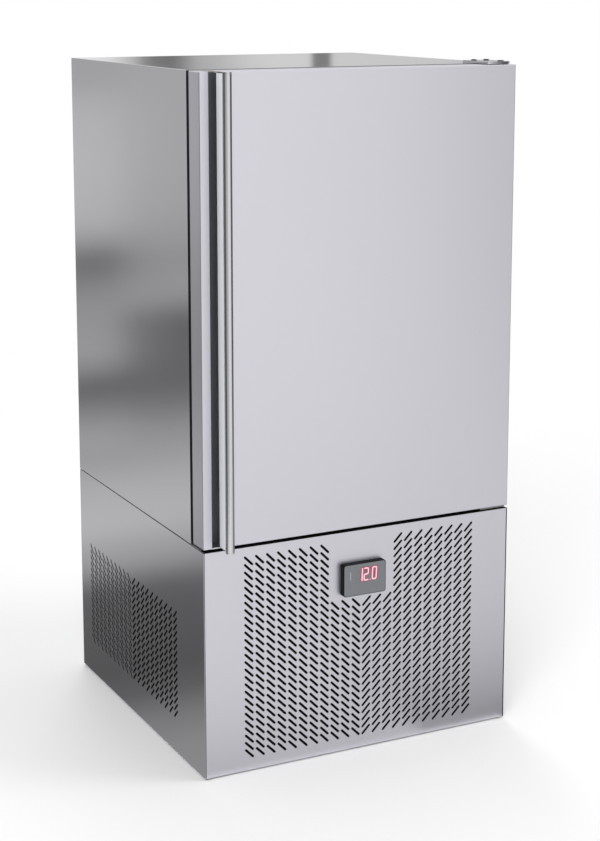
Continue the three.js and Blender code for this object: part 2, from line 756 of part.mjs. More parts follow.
function buildPanels() {
  const frontSide = side - panelSheet - cornerSeam;
  const clearU = controllerWidth / 2 + frontGrille.length / 2;
  const clearV = controllerHeight - controllerTall / 2 - frontGrille.length / 2;
  const face = rectangle(-frontSide, frontSide, skirtGap, compartmentHeight);
  face.holes.push(...slotField(frontGrille, 0, 1, (u, v) => Math.abs(u) > clearU || v < clearV));
  const openU = controllerWidth / 2 - controllerShoulder + fit;
  const openV = controllerTall / 2 - controllerShoulder + fit;
  face.holes.push(rectangle(-openU, openU, controllerHeight - openV, controllerHeight + openV, THREE.Path));
  const edge = rectangle(-frontSide, frontSide, skirtGap, compartmentHeight);
  edge.holes.push(rectangle(-frontSide + panelSheet, frontSide - panelSheet,
    skirtGap + panelSheet, compartmentHeight - panelSheet, THREE.Path));
  piece(compartment, 'front_grille_panel', join(
    prismY(face, doorFront, doorFront + panelSheet),
    prismY(edge, doorFront, doorFront + panelDepth)), steel);

  const sideRear = backY - rearSheet - fit;
  const fieldMiddle = doorFront + sideGrilleFront + sideGrille.halfSpan;
  const sides = [['left_side_panel', -side, 1], ['right_side_panel', side - panelSheet, -1]];
  for (const [name, x0, inward] of sides) {
    const outline = rectangle(doorFront, sideRear, skirtGap, compartmentHeight);
    outline.holes.push(...slotField(sideGrille, fieldMiddle, 1, () => true));
    const foot = [x0, x0 + panelSheet, x0 + inward * skirtReturn].sort((a, b) => a - b);
    piece(compartment, name, join(prismX(outline, x0, x0 + panelSheet),
      box(foot[0], foot[2], doorFront + panelDepth + fit, sideRear, skirtGap, skirtGap + panelSheet)), steel);
  }

  const rear = box(-side, side, backY - rearSheet, backY, skirtGap, compartmentHeight);
  const openings = [prismY(circle(glandRadius + fit, 12, THREE.Shape, glandX, glandHeight),
    backY - railSize, backY + 1)];
  for (const half of [-1, 1]) {
    for (let i = 0; i < rearGrille.count; i += 1) {
      const x = half * (i + 0.5) * rearGrille.pitch;
      openings.push(box(x - rearGrille.slot / 2, x + rearGrille.slot / 2, backY - railSize, backY + 1,
        rearGrille.height - rearGrille.length / 2, rearGrille.height + rearGrille.length / 2));
    }
  }
  piece(compartment, 'rear_vent_panel', cut(rear, ...openings), zinc);

  const glandRim = glandRadius + glandFlange;
  const gland = turned([[0, -glandInside], [glandRadius, -glandInside], [glandRadius, fit], [glandRim, fit],
    [glandRim, glandProud * 0.6], [glandRadius - 3, glandProud], [0, glandProud]], 12);
  piece(compartment, 'mains_gland', alongY(gland), plastic, glandX, backY, glandHeight);
}

function buildFrame() {
  const ring = rectangle(-frameSide, frameSide, frameFront, frameRear);
  ring.holes.push(rectangle(-frameSide + railSize, frameSide - railSize,
    frameFront + railSize, frameRear - railSize, THREE.Path));
  piece(compartment, 'support_frame', prismZ(ring, railBottom, railTop), zinc);

  const inset = baseSheet + fit;
  for (const [end, endY, dirY] of [['front', frameFront + inset, 1], ['rear', frameRear - inset, -1]]) {
    for (const [hand, x, dirX] of [['left', -frameSide + inset, 1], ['right', frameSide - inset, -1]]) {
      const corners = [[0, 0], [postSize, 0], [postSize, postSheet], [postSheet, postSheet],
        [postSheet, postSize], [0, postSize]];
      const angle = new THREE.Shape(
        corners.map(([u, v]) => new THREE.Vector2(x + dirX * u, endY + dirY * v)));
      piece(compartment, `post_${end}_${hand}`, prismZ(angle, baseTop + fit, railBottom - fit), zinc);
    }
  }

  const footX = side - footInset;
  const footYs = { front: frameFront + footInset, rear: frameRear - footInset };
  const base = box(-frameSide, frameSide, frameFront, frameRear, baseHeight, baseHeight + baseEdge);
  const room = box(-frameSide + baseSheet, frameSide - baseSheet, frameFront + baseSheet,
    frameRear - baseSheet, baseTop, baseHeight + baseEdge + 1);
  const stemHoles = [];
  for (const y of Object.values(footYs)) {
    for (const x of [-footX, footX]) {
      stemHoles.push(rod(footStem + fit, baseHeight - 1, baseTop + 1).translate(x, y, 0));
    }
  }
  piece(compartment, 'base_plate', cut(base, room, ...stemHoles), zinc);

  const collar = baseHeight - fit;
  const stemTop = collar + footStemLength;
  const foot = turned([[0, 0], [footPad, 0], [footPad, footPadHeight], [footCollar, footPadHeight + 3],
    [footCollar, collar], [footStem, collar], [footStem, stemTop], [0, stemTop]], 10);
  for (const [end, y] of Object.entries(footYs)) {
    piece(compartment, `foot_${end}_left`, foot, seal, -footX, y, 0);
    piece(compartment, `foot_${end}_right`, foot, seal, footX, y, 0);
  }
}

function buildController() {
  const halfU = controllerWidth / 2;
  const halfV = controllerTall / 2;
  const head = prismY(roundedRectangle(-halfU, halfU, -halfV, halfV, controllerCorner),
    doorFront - controllerProud, doorFront - fit, 3);
  const neckU = halfU - controllerShoulder;
  const neckV = halfV - controllerShoulder;
  const neck = box(-neckU, neckU, doorFront - 1, doorFront + controllerBody, -neckV, neckV);
  const lensU = halfU - controllerBezel;
  const lensV = halfV - controllerBezel;
  const lensCorner = controllerCorner - controllerBezel / 2;
  const seat = prismY(roundedRectangle(-lensU, lensU, -lensV, lensV, lensCorner),
    doorFront - controllerProud - 1, doorFront - controllerProud + lensThickness + fit, 3);
  piece(compartment, 'controller_body', cut(join(head, neck), seat), plastic, 0, 0, controllerHeight);
  const lens = prismY(roundedRectangle(-lensU + fit, lensU - fit, -lensV + fit, lensV - fit, lensCorner),
    doorFront - controllerProud, doorFront - controllerProud + lensThickness, 3);
  piece(compartment, 'controller_lens', lens, lensPlastic, 0, 0, controllerHeight);
}

function buildPlant() {
  const coilFront = doorFront + panelDepth + condenserSetback;
  const coilBack = coilFront + condenserDepth;
  const coil = finnedCoil(2 * condenserSide, condenserDepth, baseTop + fit, baseTop + condenserTall);
  piece(compartment, 'condenser_coil', coil, aluminium, 0, coilFront, 0);

  const fanZ = baseTop + condenserTall / 2;
  const shroudFront = coilBack + fit;
  const shroudBack = shroudFront + shroudDepth;
  const coilTop = baseTop + condenserTall;
  const shell = box(-condenserSide, condenserSide, shroudFront, shroudBack, baseTop + fit, coilTop);
  const roomSide = condenserSide - shroudSheet;
  const room = box(-roomSide, roomSide, shroudFront - 1, shroudBack - shroudSheet,
    baseTop + fit + shroudSheet, coilTop - shroudSheet);
  const port = prismY(circle(condenserPort, 20, THREE.Shape, 0, fanZ), shroudFront, shroudBack + 1);
  piece(compartment, 'condenser_shroud', cut(shell, room, port), zinc);

  const wheelFront = shroudBack + fanSetback;
  const motorFront = wheelFront + fanDepth + 2 * fit;
  const wheel = fanWheel(condenserFanRadius, fanHubRadius, fanDepth, fanBladeCount);
  const motor = fanMotor(motorRadius, condenserMotorLength, fanDepth / 2,
    condenserPort + armWidth, motorFront - shroudBack - fit);
  piece(compartment, 'condenser_fan', alongY(wheel), plastic, 0, wheelFront, fanZ);
  piece(compartment, 'condenser_fan_motor', alongY(motor), blackPaint, 0, motorFront, fanZ);

  const potX = -frameSide + potSideGap + potRadius;
  const potY = frameRear - potRearGap - potRadius;
  const mountTop = baseTop + fit + potMount;
  const potBase = mountTop + potPlate;
  const potTop = potBase + potTall;
  const pot = turned([[0, potBase - 1], [potRadius * 0.8, potBase - 1], [potRadius, potBase + potShoulder],
    [potRadius + potBulge, potBase + potTall / 2], [potRadius, potTop - 2 * potShoulder],
    [potRadius * 0.8, potTop - potShoulder / 2], [potRadius * 0.4, potTop], [0, potTop]], 14);
  const plateSide = potRadius + potPlateProud;
  const plate = prismZ(roundedRectangle(-plateSide, plateSide, -potRadius, potRadius, potPlateProud),
    mountTop, potBase);
  const mounts = [-1, 1].flatMap((u) => [-1, 1].map((v) =>
    rod(potMountRadius, baseTop + fit, mountTop + 1, 6)
      .translate(u * potRadius, v * (potRadius - potPlateProud), 0)));
  const stubHeight = potBase + potTall / 2;
  piece(compartment, 'compressor', join(pot, plate, ...mounts), blackPaint, potX, potY, 0);

  const receiverY = frameRear - receiverRearGap - receiverRadius;
  const receiverTop = baseTop + receiverTall;
  const receiver = turned([[0, baseTop + fit], [receiverRadius * 0.8, baseTop + fit],
    [receiverRadius, baseTop + receiverFoot], [receiverRadius, receiverTop - receiverDome],
    [receiverRadius * 0.6, receiverTop], [0, receiverTop]], 12);
  piece(compartment, 'liquid_receiver', receiver, blackPaint, receiverX, receiverY, 0);

  const drierBottom = receiverTop + 2 * fit + receiverNeck;
  const drier = turned([[0, drierBottom], [pipeRadius, drierBottom],
    [drierRadius, drierBottom + drierTaper], [drierRadius, drierBottom + drierLength - drierTaper],
    [pipeRadius, drierBottom + drierLength], [0, drierBottom + drierLength]], 10);
  piece(compartment, 'filter_drier', drier, copper, receiverX, receiverY, 0);

  // Refrigerant lines
  const v = (x, y, z) => new THREE.Vector3(x, y, z);
  piece(compartment, 'receiver_line', rod(pipeRadius, receiverTop + fit, drierBottom - fit, 8), copper,
    receiverX, receiverY, 0);
  const coilFoot = cavityFloor + coilFloorGap;
  const drierTop = drierBottom + drierLength + fit;
  const riser = (x) => [-riserDrop, -riserDrop / 2, 0, wall].map((z) => v(x, lineY, cabinetBottom + z))
    .concat(v(x, lineY, coilFoot - fit));
  const liquidX = lineXs[0];
  const suctionX = lineXs[1];
  const liquidZ = drierTop + 2 * pipeStub;
  piece(compartment, 'liquid_line', tube([
    v(receiverX, receiverY, drierTop), v(receiverX, receiverY, drierTop + pipeStub),
    v(receiverX - pipeBend, lineY, liquidZ), v(liquidX + pipeBend, lineY, liquidZ),
    ...riser(liquidX)], pipeRadius, 20), copper);
  const suctionZ = potTop + fit;
  piece(compartment, 'suction_line', tube([
    v(potX, potY, suctionZ), v(potX, potY, suctionZ + 2 * pipeStub),
    v(suctionX, lineY - pipeBend, suctionZ + 4 * pipeStub),
    ...riser(suctionX)], pipeRadius, 16), copper);
  const stubX = potX - potRadius - potBulge - fit;
  const portX = -condenserSide + 2 * pipeRadius;
  const portZ = condenserTall - pipeBend / 2;
  piece(compartment, 'discharge_line', tube([
    v(stubX, potY, stubHeight), v(stubX - 1.5 * pipeStub, potY, stubHeight),
    v(stubX - 2 * pipeStub, potY - pipeBend, stubHeight + pipeStub),
    v(stubX - 2 * pipeStub, shroudBack + 2 * pipeBend, portZ), v(portX, shroudBack + pipeBend, portZ),
    v(portX, shroudBack + fit, portZ)], pipeRadius, 14), copper);

  const boxRight = frameSide - boxSideGap;
  const boxLeft = boxRight - boxWidth;
  const boxRear = frameRear - boxRearGap;
  const boxFront = boxRear - boxLength;
  const caseOuter = box(boxLeft, boxRight, boxFront, boxRear, baseTop + fit, baseTop + boxTall);
  const lid = box(boxLeft - boxLidProud, boxLeft + 1, boxFront + boxLid, boxRear - boxLid,
    baseTop + fit + boxLid, baseTop + boxTall - boxLid);
  piece(compartment, 'control_box', join(caseOuter, lid), plastic);
}

buildCasing();
buildLiner();
buildRack('rack_left', -1);
buildRack('rack_right', 1);
shelvedLevels.forEach((level, i) => buildShelf(`wire_shelf_${i + 1}`, level));
buildAirSide();
buildDoor();
buildHinges();
buildPanels();
buildFrame();
buildController();
buildPlant();

export default chiller;
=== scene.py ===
import json
import math
import bmesh
import bpy
from mathutils import Matrix, Vector

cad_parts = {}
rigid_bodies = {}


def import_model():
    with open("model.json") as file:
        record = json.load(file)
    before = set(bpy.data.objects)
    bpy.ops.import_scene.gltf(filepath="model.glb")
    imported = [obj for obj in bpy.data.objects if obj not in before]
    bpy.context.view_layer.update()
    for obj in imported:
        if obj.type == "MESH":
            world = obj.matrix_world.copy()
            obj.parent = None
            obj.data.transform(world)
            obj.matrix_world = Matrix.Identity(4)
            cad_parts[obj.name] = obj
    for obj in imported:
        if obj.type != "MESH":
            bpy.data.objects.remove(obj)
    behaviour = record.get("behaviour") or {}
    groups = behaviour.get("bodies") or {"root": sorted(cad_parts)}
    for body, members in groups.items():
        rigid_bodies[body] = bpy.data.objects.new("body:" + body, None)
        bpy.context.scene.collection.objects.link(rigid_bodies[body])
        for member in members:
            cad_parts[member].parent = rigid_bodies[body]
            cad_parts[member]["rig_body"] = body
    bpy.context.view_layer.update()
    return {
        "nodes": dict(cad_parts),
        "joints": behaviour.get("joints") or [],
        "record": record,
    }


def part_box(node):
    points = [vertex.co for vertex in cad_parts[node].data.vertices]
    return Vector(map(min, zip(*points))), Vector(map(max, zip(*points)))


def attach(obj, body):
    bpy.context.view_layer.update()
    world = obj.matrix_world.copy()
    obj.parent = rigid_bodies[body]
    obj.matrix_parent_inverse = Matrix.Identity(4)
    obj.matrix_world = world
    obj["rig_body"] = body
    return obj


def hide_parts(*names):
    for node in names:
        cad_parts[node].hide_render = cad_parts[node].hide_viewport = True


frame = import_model()
nodes = frame["nodes"]
slotOf = {part["node"]: part["material_slot"] for part in frame["record"]["subparts"]}
axleOf = {joint["child"]: Vector(joint["pos_m"]) for joint in frame["joints"]}
mm = 0.001
xAxis, yAxis, zAxis = Vector((1, 0, 0)), Vector((0, 1, 0)), Vector((0, 0, 1))
print("frame loaded:", len(nodes), "nodes")


# camera, at the photograph's corner view
view = {"place": (-1.937, -3.909, 1.780), "turn": 26.73, "tilt": 9.74, "lens": 77.15, "shift": -0.15}


def makeCamera():
    data = bpy.data.cameras.new("camera")
    data.sensor_width = 36
    data.lens = view["lens"]
    data.shift_y = view["shift"]
    camera = linked("camera", data)
    camera.location = view["place"]
    camera.rotation_euler = (math.radians(90 - view["tilt"]), 0, -math.radians(view["turn"]))
    bpy.context.scene.camera = camera


# shaders
class Wire:  # one output of a node, so that maths on it reads as an expression
    def __init__(self, finish, socket):
        self.finish = finish
        self.socket = socket

    def maths(self, operation, first, second):
        return self.finish.add("Math", {"operation": operation}, {0: first, 1: second})

    def __add__(self, other):
        return self.maths("ADD", self, other)

    def __radd__(self, other):
        return self.maths("ADD", other, self)

    def __sub__(self, other):
        return self.maths("SUBTRACT", self, other)

    def __rsub__(self, other):
        return self.maths("SUBTRACT", other, self)

    def __mul__(self, other):
        return self.maths("MULTIPLY", self, other)

    def __rmul__(self, other):
        return self.maths("MULTIPLY", other, self)


class Nodes:  # a node tree
    def __init__(self, tree):
        self.tree = tree

    def plug(self, socket, value):
        if isinstance(value, Wire):
            self.tree.links.new(value.socket, socket)
        else:
            socket.default_value = value

    def add(self, kind, settings={}, sockets={}, out=0):
        node = self.tree.nodes.new("ShaderNode" + kind)
        for name, value in settings.items():
            if name == "stops":
                for stop in value[2:]:
                    node.color_ramp.elements.new(stop[0])
                for element, (position, shade) in zip(node.color_ramp.elements, sorted(value)):
                    element.position = position
                    element.color = (shade, shade, shade, 1)
            else:
                setattr(node, name, value)
        for name, value in sockets.items():
            self.plug(node.inputs[name], value)
        return Wire(self, node.outputs[out])


class Finish(Nodes):  # one material, with the patterns that its shader uses
    def __init__(self, name, fixed):
        self.material = bpy.data.materials.new(name)
        self.material.use_nodes = True
        super().__init__(self.material.node_tree)
        self.shader = self.tree.nodes["Principled BSDF"]
        self.feed(fixed)

    def feed(self, sockets):
        for name, value in sockets.items():
            self.plug(self.shader.inputs[name], value)

    def place(self, stretch=(1, 1, 1)):
        spot = self.add("TexCoord", {}, {}, "Object")
        return self.add("VectorMath", {"operation": "MULTIPLY"}, {0: spot, 1: stretch})

    def noise(self, scale, stretch=(1, 1, 1), detail=3.0):
        return self.add("TexNoise", {}, {"Vector": self.place(stretch), "Scale": scale, "Detail": detail})

    def mix(self, factor, first, second):
        return self.add("Mix", {"data_type": "RGBA"}, {0: factor, 6: first, 7: second}, 2)

    def bump(self, height, strength, distance):
        return self.add("Bump", {}, {"Strength": strength, "Distance": distance, "Height": height})


def shade(colour, factor=1.0):
    return tuple(factor * part for part in colour) + (1.0,)


def brushedSteel(name, look):
    finish = Finish(name, {"Metallic": 1.0})
    grain = finish.noise(look["grain"], look["along"], 2.0)
    cloud = finish.noise(look["cloud"], (1, 1, 0.45), 4.0)
    tone = 0.5 * grain + 0.5 * cloud
    dark, pale = (shade(look["colour"], 1 + sign * look["vary"]) for sign in (-1, 1))
    finish.feed({
        "Base Color": finish.mix(tone, dark, pale),
        "Roughness": look["rough"] + 0.10 * cloud + 0.05 * grain - 0.08,
        "Normal": finish.bump(grain, look["relief"], 0.0002),
    })
    return finish


def galvanised(name, look):
    finish = Finish(name, {"Metallic": 0.9})
    spangle = finish.add("TexVoronoi", {}, {"Vector": finish.place(), "Scale": look["spangle"]}, "Color")
    tone = finish.add("SeparateColor", {}, {0: spangle})
    cloud = finish.noise(9.0)
    finish.feed({
        "Base Color": finish.mix(tone, shade(look["colour"], 0.86), shade(look["colour"], 1.08)),
        "Roughness": look["rough"] + 0.16 * tone + 0.1 * cloud - 0.1,
        "Normal": finish.bump(tone, 0.08, 0.0002),
    })
    return finish


def moulded(name, look):  # plastic, paint or rubber with a fine texture and a little dust
    finish = Finish(name, look["fixed"])
    pebble = finish.noise(look["pebble"], (1, 1, 1), 2.0)
    dust = finish.noise(14.0)
    dark, pale = shade(look["colour"], 0.8), shade(look["colour"], 1.25)
    finish.feed({
        "Base Color": finish.mix(0.7 * dust + 0.3 * pebble, dark, pale),
        "Roughness": look["rough"] + 0.2 * dust - 0.1,
        "Normal": finish.bump(pebble, look["relief"], 0.0003),
    })
    return finish


def foamed(name):
    finish = Finish(name, {"Subsurface Weight": 0.1})
    cells = finish.add("TexVoronoi", {}, {"Vector": finish.place(), "Scale": 420.0})
    cloud = finish.noise(11.0)
    finish.feed({
        "Base Color": finish.mix(0.6 * cloud + 0.4 * cells, (0.62, 0.5, 0.22, 1), (0.8, 0.7, 0.4, 1)),
        "Roughness": 0.85 + 0.1 * cells,
        "Normal": finish.bump(cells, 0.5, 0.001),
    })
    return finish


def coppered(name, bright=(0.62, 0.29, 0.15, 1), dull=(0.36, 0.17, 0.10, 1)):
    finish = Finish(name, {"Metallic": 1.0})
    tarnish = finish.noise(26.0, (1, 1, 1), 5.0)
    finish.feed({
        "Base Color": finish.mix(tarnish, bright, dull),
        "Roughness": 0.2 + 0.3 * tarnish,
        "Normal": finish.bump(tarnish, 0.1, 0.0003),
    })
    return finish


def lensGlass(name):
    finish = Finish(name, {"Coat Weight": 1.0, "Coat Roughness": 0.04})
    smear = finish.noise(18.0, (1, 1, 2.5))
    speck = finish.noise(900.0)
    finish.feed({
        "Base Color": finish.mix(smear, (0.118, 0.125, 0.138, 1), (0.134, 0.142, 0.152, 1)),
        "Roughness": 0.12 + 0.1 * smear,
        "Normal": finish.bump(speck, 0.02, 0.0001),
    })
    return finish


def lit(name, colour, strength, spread=0.1):
    finish = Finish(name, {"Base Color": (0.02, 0.0, 0.0, 1), "Emission Strength": strength})
    haze = finish.noise(700.0)
    finish.feed({
        "Emission Color": finish.mix(haze, shade(colour, 1 - spread), shade(colour, 1 + spread)),
        "Roughness": 0.3 + 0.2 * haze,
    })
    return finish


upright, level = (1, 1, 0.012), (0.012, 1, 1)
finishes = {
    "outer_steel": brushedSteel("brushed steel", {
        "colour": (0.615, 0.615, 0.645), "vary": 0.025, "rough": 0.15, "grain": 1500.0, "along": upright,
        "cloud": 2.2, "relief": 0.05}),
    "inner_steel": brushedSteel("liner steel", {
        "colour": (0.60, 0.61, 0.615), "vary": 0.03, "rough": 0.26, "grain": 1200.0, "along": level,
        "cloud": 3.0, "relief": 0.06}),
    "zinc_steel": galvanised("galvanised steel", {
        "colour": (0.5, 0.51, 0.52), "spangle": 120.0, "rough": 0.42}),
    "fin_aluminium": brushedSteel("fin aluminium", {
        "colour": (0.62, 0.63, 0.64), "vary": 0.08, "rough": 0.34, "grain": 700.0, "along": (1, 1, 0.05),
        "cloud": 8.0, "relief": 0.1}),
    "handle_aluminium": brushedSteel("anodised aluminium", {
        "colour": (0.64, 0.64, 0.66), "vary": 0.02, "rough": 0.18, "grain": 1800.0, "along": upright,
        "cloud": 5.0, "relief": 0.05}),
    "black_paint": moulded("black enamel", {
        "colour": (0.018, 0.018, 0.02), "rough": 0.38, "pebble": 500.0, "relief": 0.15,
        "fixed": {"Coat Weight": 0.25}}),
    "black_plastic": moulded("black plastic", {
        "colour": (0.016, 0.016, 0.018), "rough": 0.46, "pebble": 1300.0, "relief": 0.12, "fixed": {}}),
    "seal_rubber": moulded("black rubber", {
        "colour": (0.014, 0.014, 0.015), "rough": 0.66, "pebble": 800.0, "relief": 0.1, "fixed": {}}),
    "foam": foamed("rigid foam"),
    "copper": coppered("copper pipe"),
    "display_lens": lensGlass("display lens"),
}
frontSteel = brushedSteel("front steel", {
    "colour": (0.712, 0.70, 0.757), "vary": 0.02, "rough": 0.4, "grain": 1500.0, "along": upright,
    "cloud": 1.6, "relief": 0.05})
# a darker copy of the handle aluminium: painted shade on the recess walls and the grip's right flank
paintedShadeChannel = brushedSteel("painted shade channel", {
    "colour": (0.36, 0.37, 0.39), "vary": 0.05, "rough": 0.34, "grain": 1500.0, "along": upright,
    "cloud": 3.0, "relief": 0.05})
# a lighter, more diffuse copy of the handle aluminium for the web's left side: painted light
paintedLitWeb = brushedSteel("satin aluminium with painted light", {
    "colour": (0.84, 0.85, 0.885), "vary": 0.02, "rough": 0.6, "grain": 1800.0, "along": upright,
    "cloud": 5.0, "relief": 0.05})
paintedLitWeb.feed({"Metallic": 0.25})
controlBlack = moulded("controller black", {
    "colour": (0.004, 0.004, 0.005), "rough": 0.5, "pebble": 1500.0, "relief": 0.05,
    "fixed": {"Specular IOR Level": 0.08}})
# near-black foam, darker than the black plastic: painted shade behind the slots, in the gaps round the door
# and on the gasket
shadeFoam = moulded("near-black foam, painted shade", {
    "colour": (0.004, 0.004, 0.004), "rough": 0.9, "pebble": 600.0, "relief": 0.6,
    "fixed": {"Specular IOR Level": 0.1}})
# the condenser's fins made near-black, darker than the fin aluminium: painted shade seen through the slots
shadeDarkFins = moulded("near-black fins, painted shade", {
    "colour": (0.02, 0.02, 0.021), "rough": 0.6, "pebble": 300.0, "relief": 0.1, "fixed": {}})
brass = coppered("brass fittings", (0.58, 0.42, 0.16, 1), (0.40, 0.28, 0.12, 1))
print("finishes ready:", len(finishes))


# mesh tools; a radius of an edge and a turned profile are in mm, other lengths in metres
limits = {"sharpFrom": 35, "flatWithin": 0.5, "weld": 2e-6, "same": 1e-5, "foldFrom": 0.5, "softFrom": 0.9}


def linked(name, data):  # a new object in the scene
    thing = bpy.data.objects.new(name, data)
    bpy.context.scene.collection.objects.link(thing)
    return thing


def meshOf(bm, name):
    bmesh.ops.recalc_face_normals(bm, faces=bm.faces)
    mesh = bpy.data.meshes.new(name)
    bm.to_mesh(mesh)
    bm.free()
    return mesh


def addPiece(name, bm, like, replaced=True, finish=None):  # rides on the body of the CAD node it is like
    mesh = meshOf(bm, name)
    piece = linked(name, mesh)
    mesh.materials.append((finish or finishes[slotOf[like]]).material)
    mesh.shade_smooth()
    mesh.set_sharp_from_angle(angle=math.radians(limits["sharpFrom"]))
    weigh = piece.modifiers.new("flat faces", "WEIGHTED_NORMAL")
    weigh.keep_sharp = True
    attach(piece, nodes[like]["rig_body"])
    if replaced:
        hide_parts(like)
    return piece


def copyOf(name):  # a CAD solid with each flat side as one face
    bm = bmesh.new()
    bm.from_mesh(nodes[name].data)
    bmesh.ops.remove_doubles(bm, verts=bm.verts, dist=limits["weld"])
    flat = math.radians(limits["flatWithin"])
    bmesh.ops.dissolve_limit(bm, angle_limit=flat, verts=bm.verts, edges=bm.edges)
    return bm


def bevel(bm, edges, radius, segments=2, clamp=False):
    bmesh.ops.bevel(bm, geom=edges, offset=radius * mm, segments=segments, profile=0.5, affect="EDGES",
                    clamp_overlap=clamp)


def foldedEdges(bm, least):
    return [e for e in bm.edges if e.is_manifold and e.calc_face_angle() > least]


def roundEdges(bm, radius, segments, chosen):
    edges = [e for e in foldedEdges(bm, limits["foldFrom"]) if chosen(e.verts[0].co, e.verts[1].co)]
    bevel(bm, edges, radius, segments)


def softenEdges(bm, radius):
    bevel(bm, foldedEdges(bm, limits["softFrom"]), radius, clamp=True)


def boxEdges(low, high, skip=()):  # edges where two outer sides of a box meet
    sides = [(axis, value) for axis in range(3) for value in (low[axis], high[axis])]
    sides = [side for i, side in enumerate(sides) if i not in skip]
    same = limits["same"]

    def chosen(a, b):
        return sum(abs(a[k] - v) < same and abs(b[k] - v) < same for k, v in sides) >= 2
    return chosen


def bridge(bm, rings):  # faces between each ring of corners and the next
    for near, far in zip(rings, rings[1:]):
        for k in range(len(near)):
            n = (k + 1) % len(near)
            bm.faces.new((near[k], near[n], far[n], far[k]))


def ringAt(bm, outline, y):  # corners in a plane parallel to the door
    return [bm.verts.new((x, y, z)) for x, z in outline]


def prism(bm, outline, low, high, axes):  # outline in two axes, run along the third
    u, v, w = axes
    rings = [[bm.verts.new(u * x + v * y + w * end) for x, y in outline] for end in (low, high)]
    bm.faces.new(rings[0])
    bm.faces.new(rings[1])
    for i in range(len(outline)):
        j = (i + 1) % len(outline)
        bm.faces.new((rings[0][i], rings[0][j], rings[1][j], rings[1][i]))


def lathe(bm, profile, turn=Matrix.Identity(4), segments=40):  # (radius, height) pairs about Z
    rings = []
    angles = [math.tau * k / segments for k in range(segments)]
    for radius, height in profile:
        circle = [(0, 0)]
        if radius:
            circle = [(radius * mm * math.cos(a), radius * mm * math.sin(a)) for a in angles]
        rings.append([bm.verts.new(turn @ Vector((x, y, height * mm))) for x, y in circle])
    for near, far in zip(rings, rings[1:]):
        for k in range(segments):
            n = (k + 1) % segments
            corners = [near[k % len(near)], near[n % len(near)], far[n % len(far)], far[k % len(far)]]
            corners = [c for i, c in enumerate(corners) if c not in corners[:i]]
            if len(corners) > 2:
                bm.faces.new(corners)


def addTurned(name, like, profile, turn, segments):  # a piece of one turned profile
    bm = bmesh.new()
    lathe(bm, profile, turn, segments)
    addPiece(name, bm, like)


def box(bm, low, high, rounded=0.0):
    made = bmesh.ops.create_cube(bm, size=1.0)["verts"]
    for vert in made:
        vert.co = Vector([low[k] if vert.co[k] < 0 else high[k] for k in range(3)])
    if rounded:
        bevel(bm, list({e for vert in made for e in vert.link_edges}), rounded)


def arc(cx, cy, radius, start, end, steps):
    turns = [start + (end - start) * k / steps for k in range(steps + 1)]
    return [(cx + radius * math.cos(t), cy + radius * math.sin(t)) for t in turns]


def fromCurve(paths, width=0.0, cyclic=False, sheet=0.0, resolution=3, offset=0.0):
    # wires of round section, or with sheet a flat outline with holes
    data = bpy.data.curves.new("path", "CURVE")
    data.dimensions = "2D" if sheet else "3D"
    data.fill_mode = "BOTH" if sheet else "FULL"
    data.extrude = sheet / 2 - width if sheet else 0.0
    data.bevel_depth = width
    data.bevel_resolution = resolution
    data.offset = offset
    data.use_fill_caps = not cyclic
    for path in paths:
        spline = data.splines.new("POLY")
        spline.points.add(len(path) - 1)
        for point, place in zip(spline.points, path):
            point.co = (*place, 0.0, 1.0) if len(place) == 2 else (*place, 1.0)
        spline.use_cyclic_u = cyclic
    holder = linked("path", data)
    ready = holder.evaluated_get(bpy.context.evaluated_depsgraph_get())
    bm = bmesh.new()
    bm.from_mesh(ready.to_mesh())
    bmesh.ops.remove_doubles(bm, verts=bm.verts, dist=1e-6)
    bpy.data.objects.remove(holder)
    return bm


def mergeInto(bm, other, turn=Matrix.Identity(4)):
    scratch = bpy.data.meshes.new("scratch")
    other.to_mesh(scratch)
    other.free()
    scratch.transform(turn)
    bm.from_mesh(scratch)
    bpy.data.meshes.remove(scratch)


def frameOf(u, v, origin=(0, 0, 0)):  # a sheet's plane: its two directions and its origin
    w = u.cross(v)
    return Matrix.Translation(origin) @ Matrix((u, v, w)).transposed().to_4x4()


alongY = Matrix.Rotation(math.radians(-90), 4, "X")  # what is turned about Z lies along +Y


def around(cx, cy, radius, steps=48):
    return arc(cx, cy, radius, 0, math.tau * (steps - 1) / steps, steps - 1)


def roundedOutline(x0, x1, y0, y1, radius, steps=8):
    points = []
    for cx, cy, start in ((x1 - radius, y0 + radius, -90), (x1 - radius, y1 - radius, 0),
                          (x0 + radius, y1 - radius, 90), (x0 + radius, y0 + radius, 180)):
        points += arc(cx, cy, radius, math.radians(start), math.radians(start + 90), steps)
    return points


def bentPath(corners, bend, steps=8):  # straight runs with a round bend at each corner
    corners = [Vector(c) for c in corners]
    path = [corners[0]]
    for before, at, after in zip(corners, corners[1:], corners[2:]):
        back, on = before - at, after - at
        reach = min(bend, back.length * 0.49, on.length * 0.49)
        start, end = at + back.normalized() * reach, at + on.normalized() * reach
        for k in range(steps + 1):
            t = k / steps
            path.append(start * (1 - t) ** 2 + at * (2 * t * (1 - t)) + end * t * t)
    return path + [corners[-1]]


def addWire(bm, paths, radius, cyclic=False, resolution=1):
    mergeInto(bm, fromCurve(paths, radius, cyclic, resolution=resolution))


def addPipe(bm, corners, radius, bend=0.03, resolution=3):
    addWire(bm, [bentPath(corners, bend)], radius, resolution=resolution)


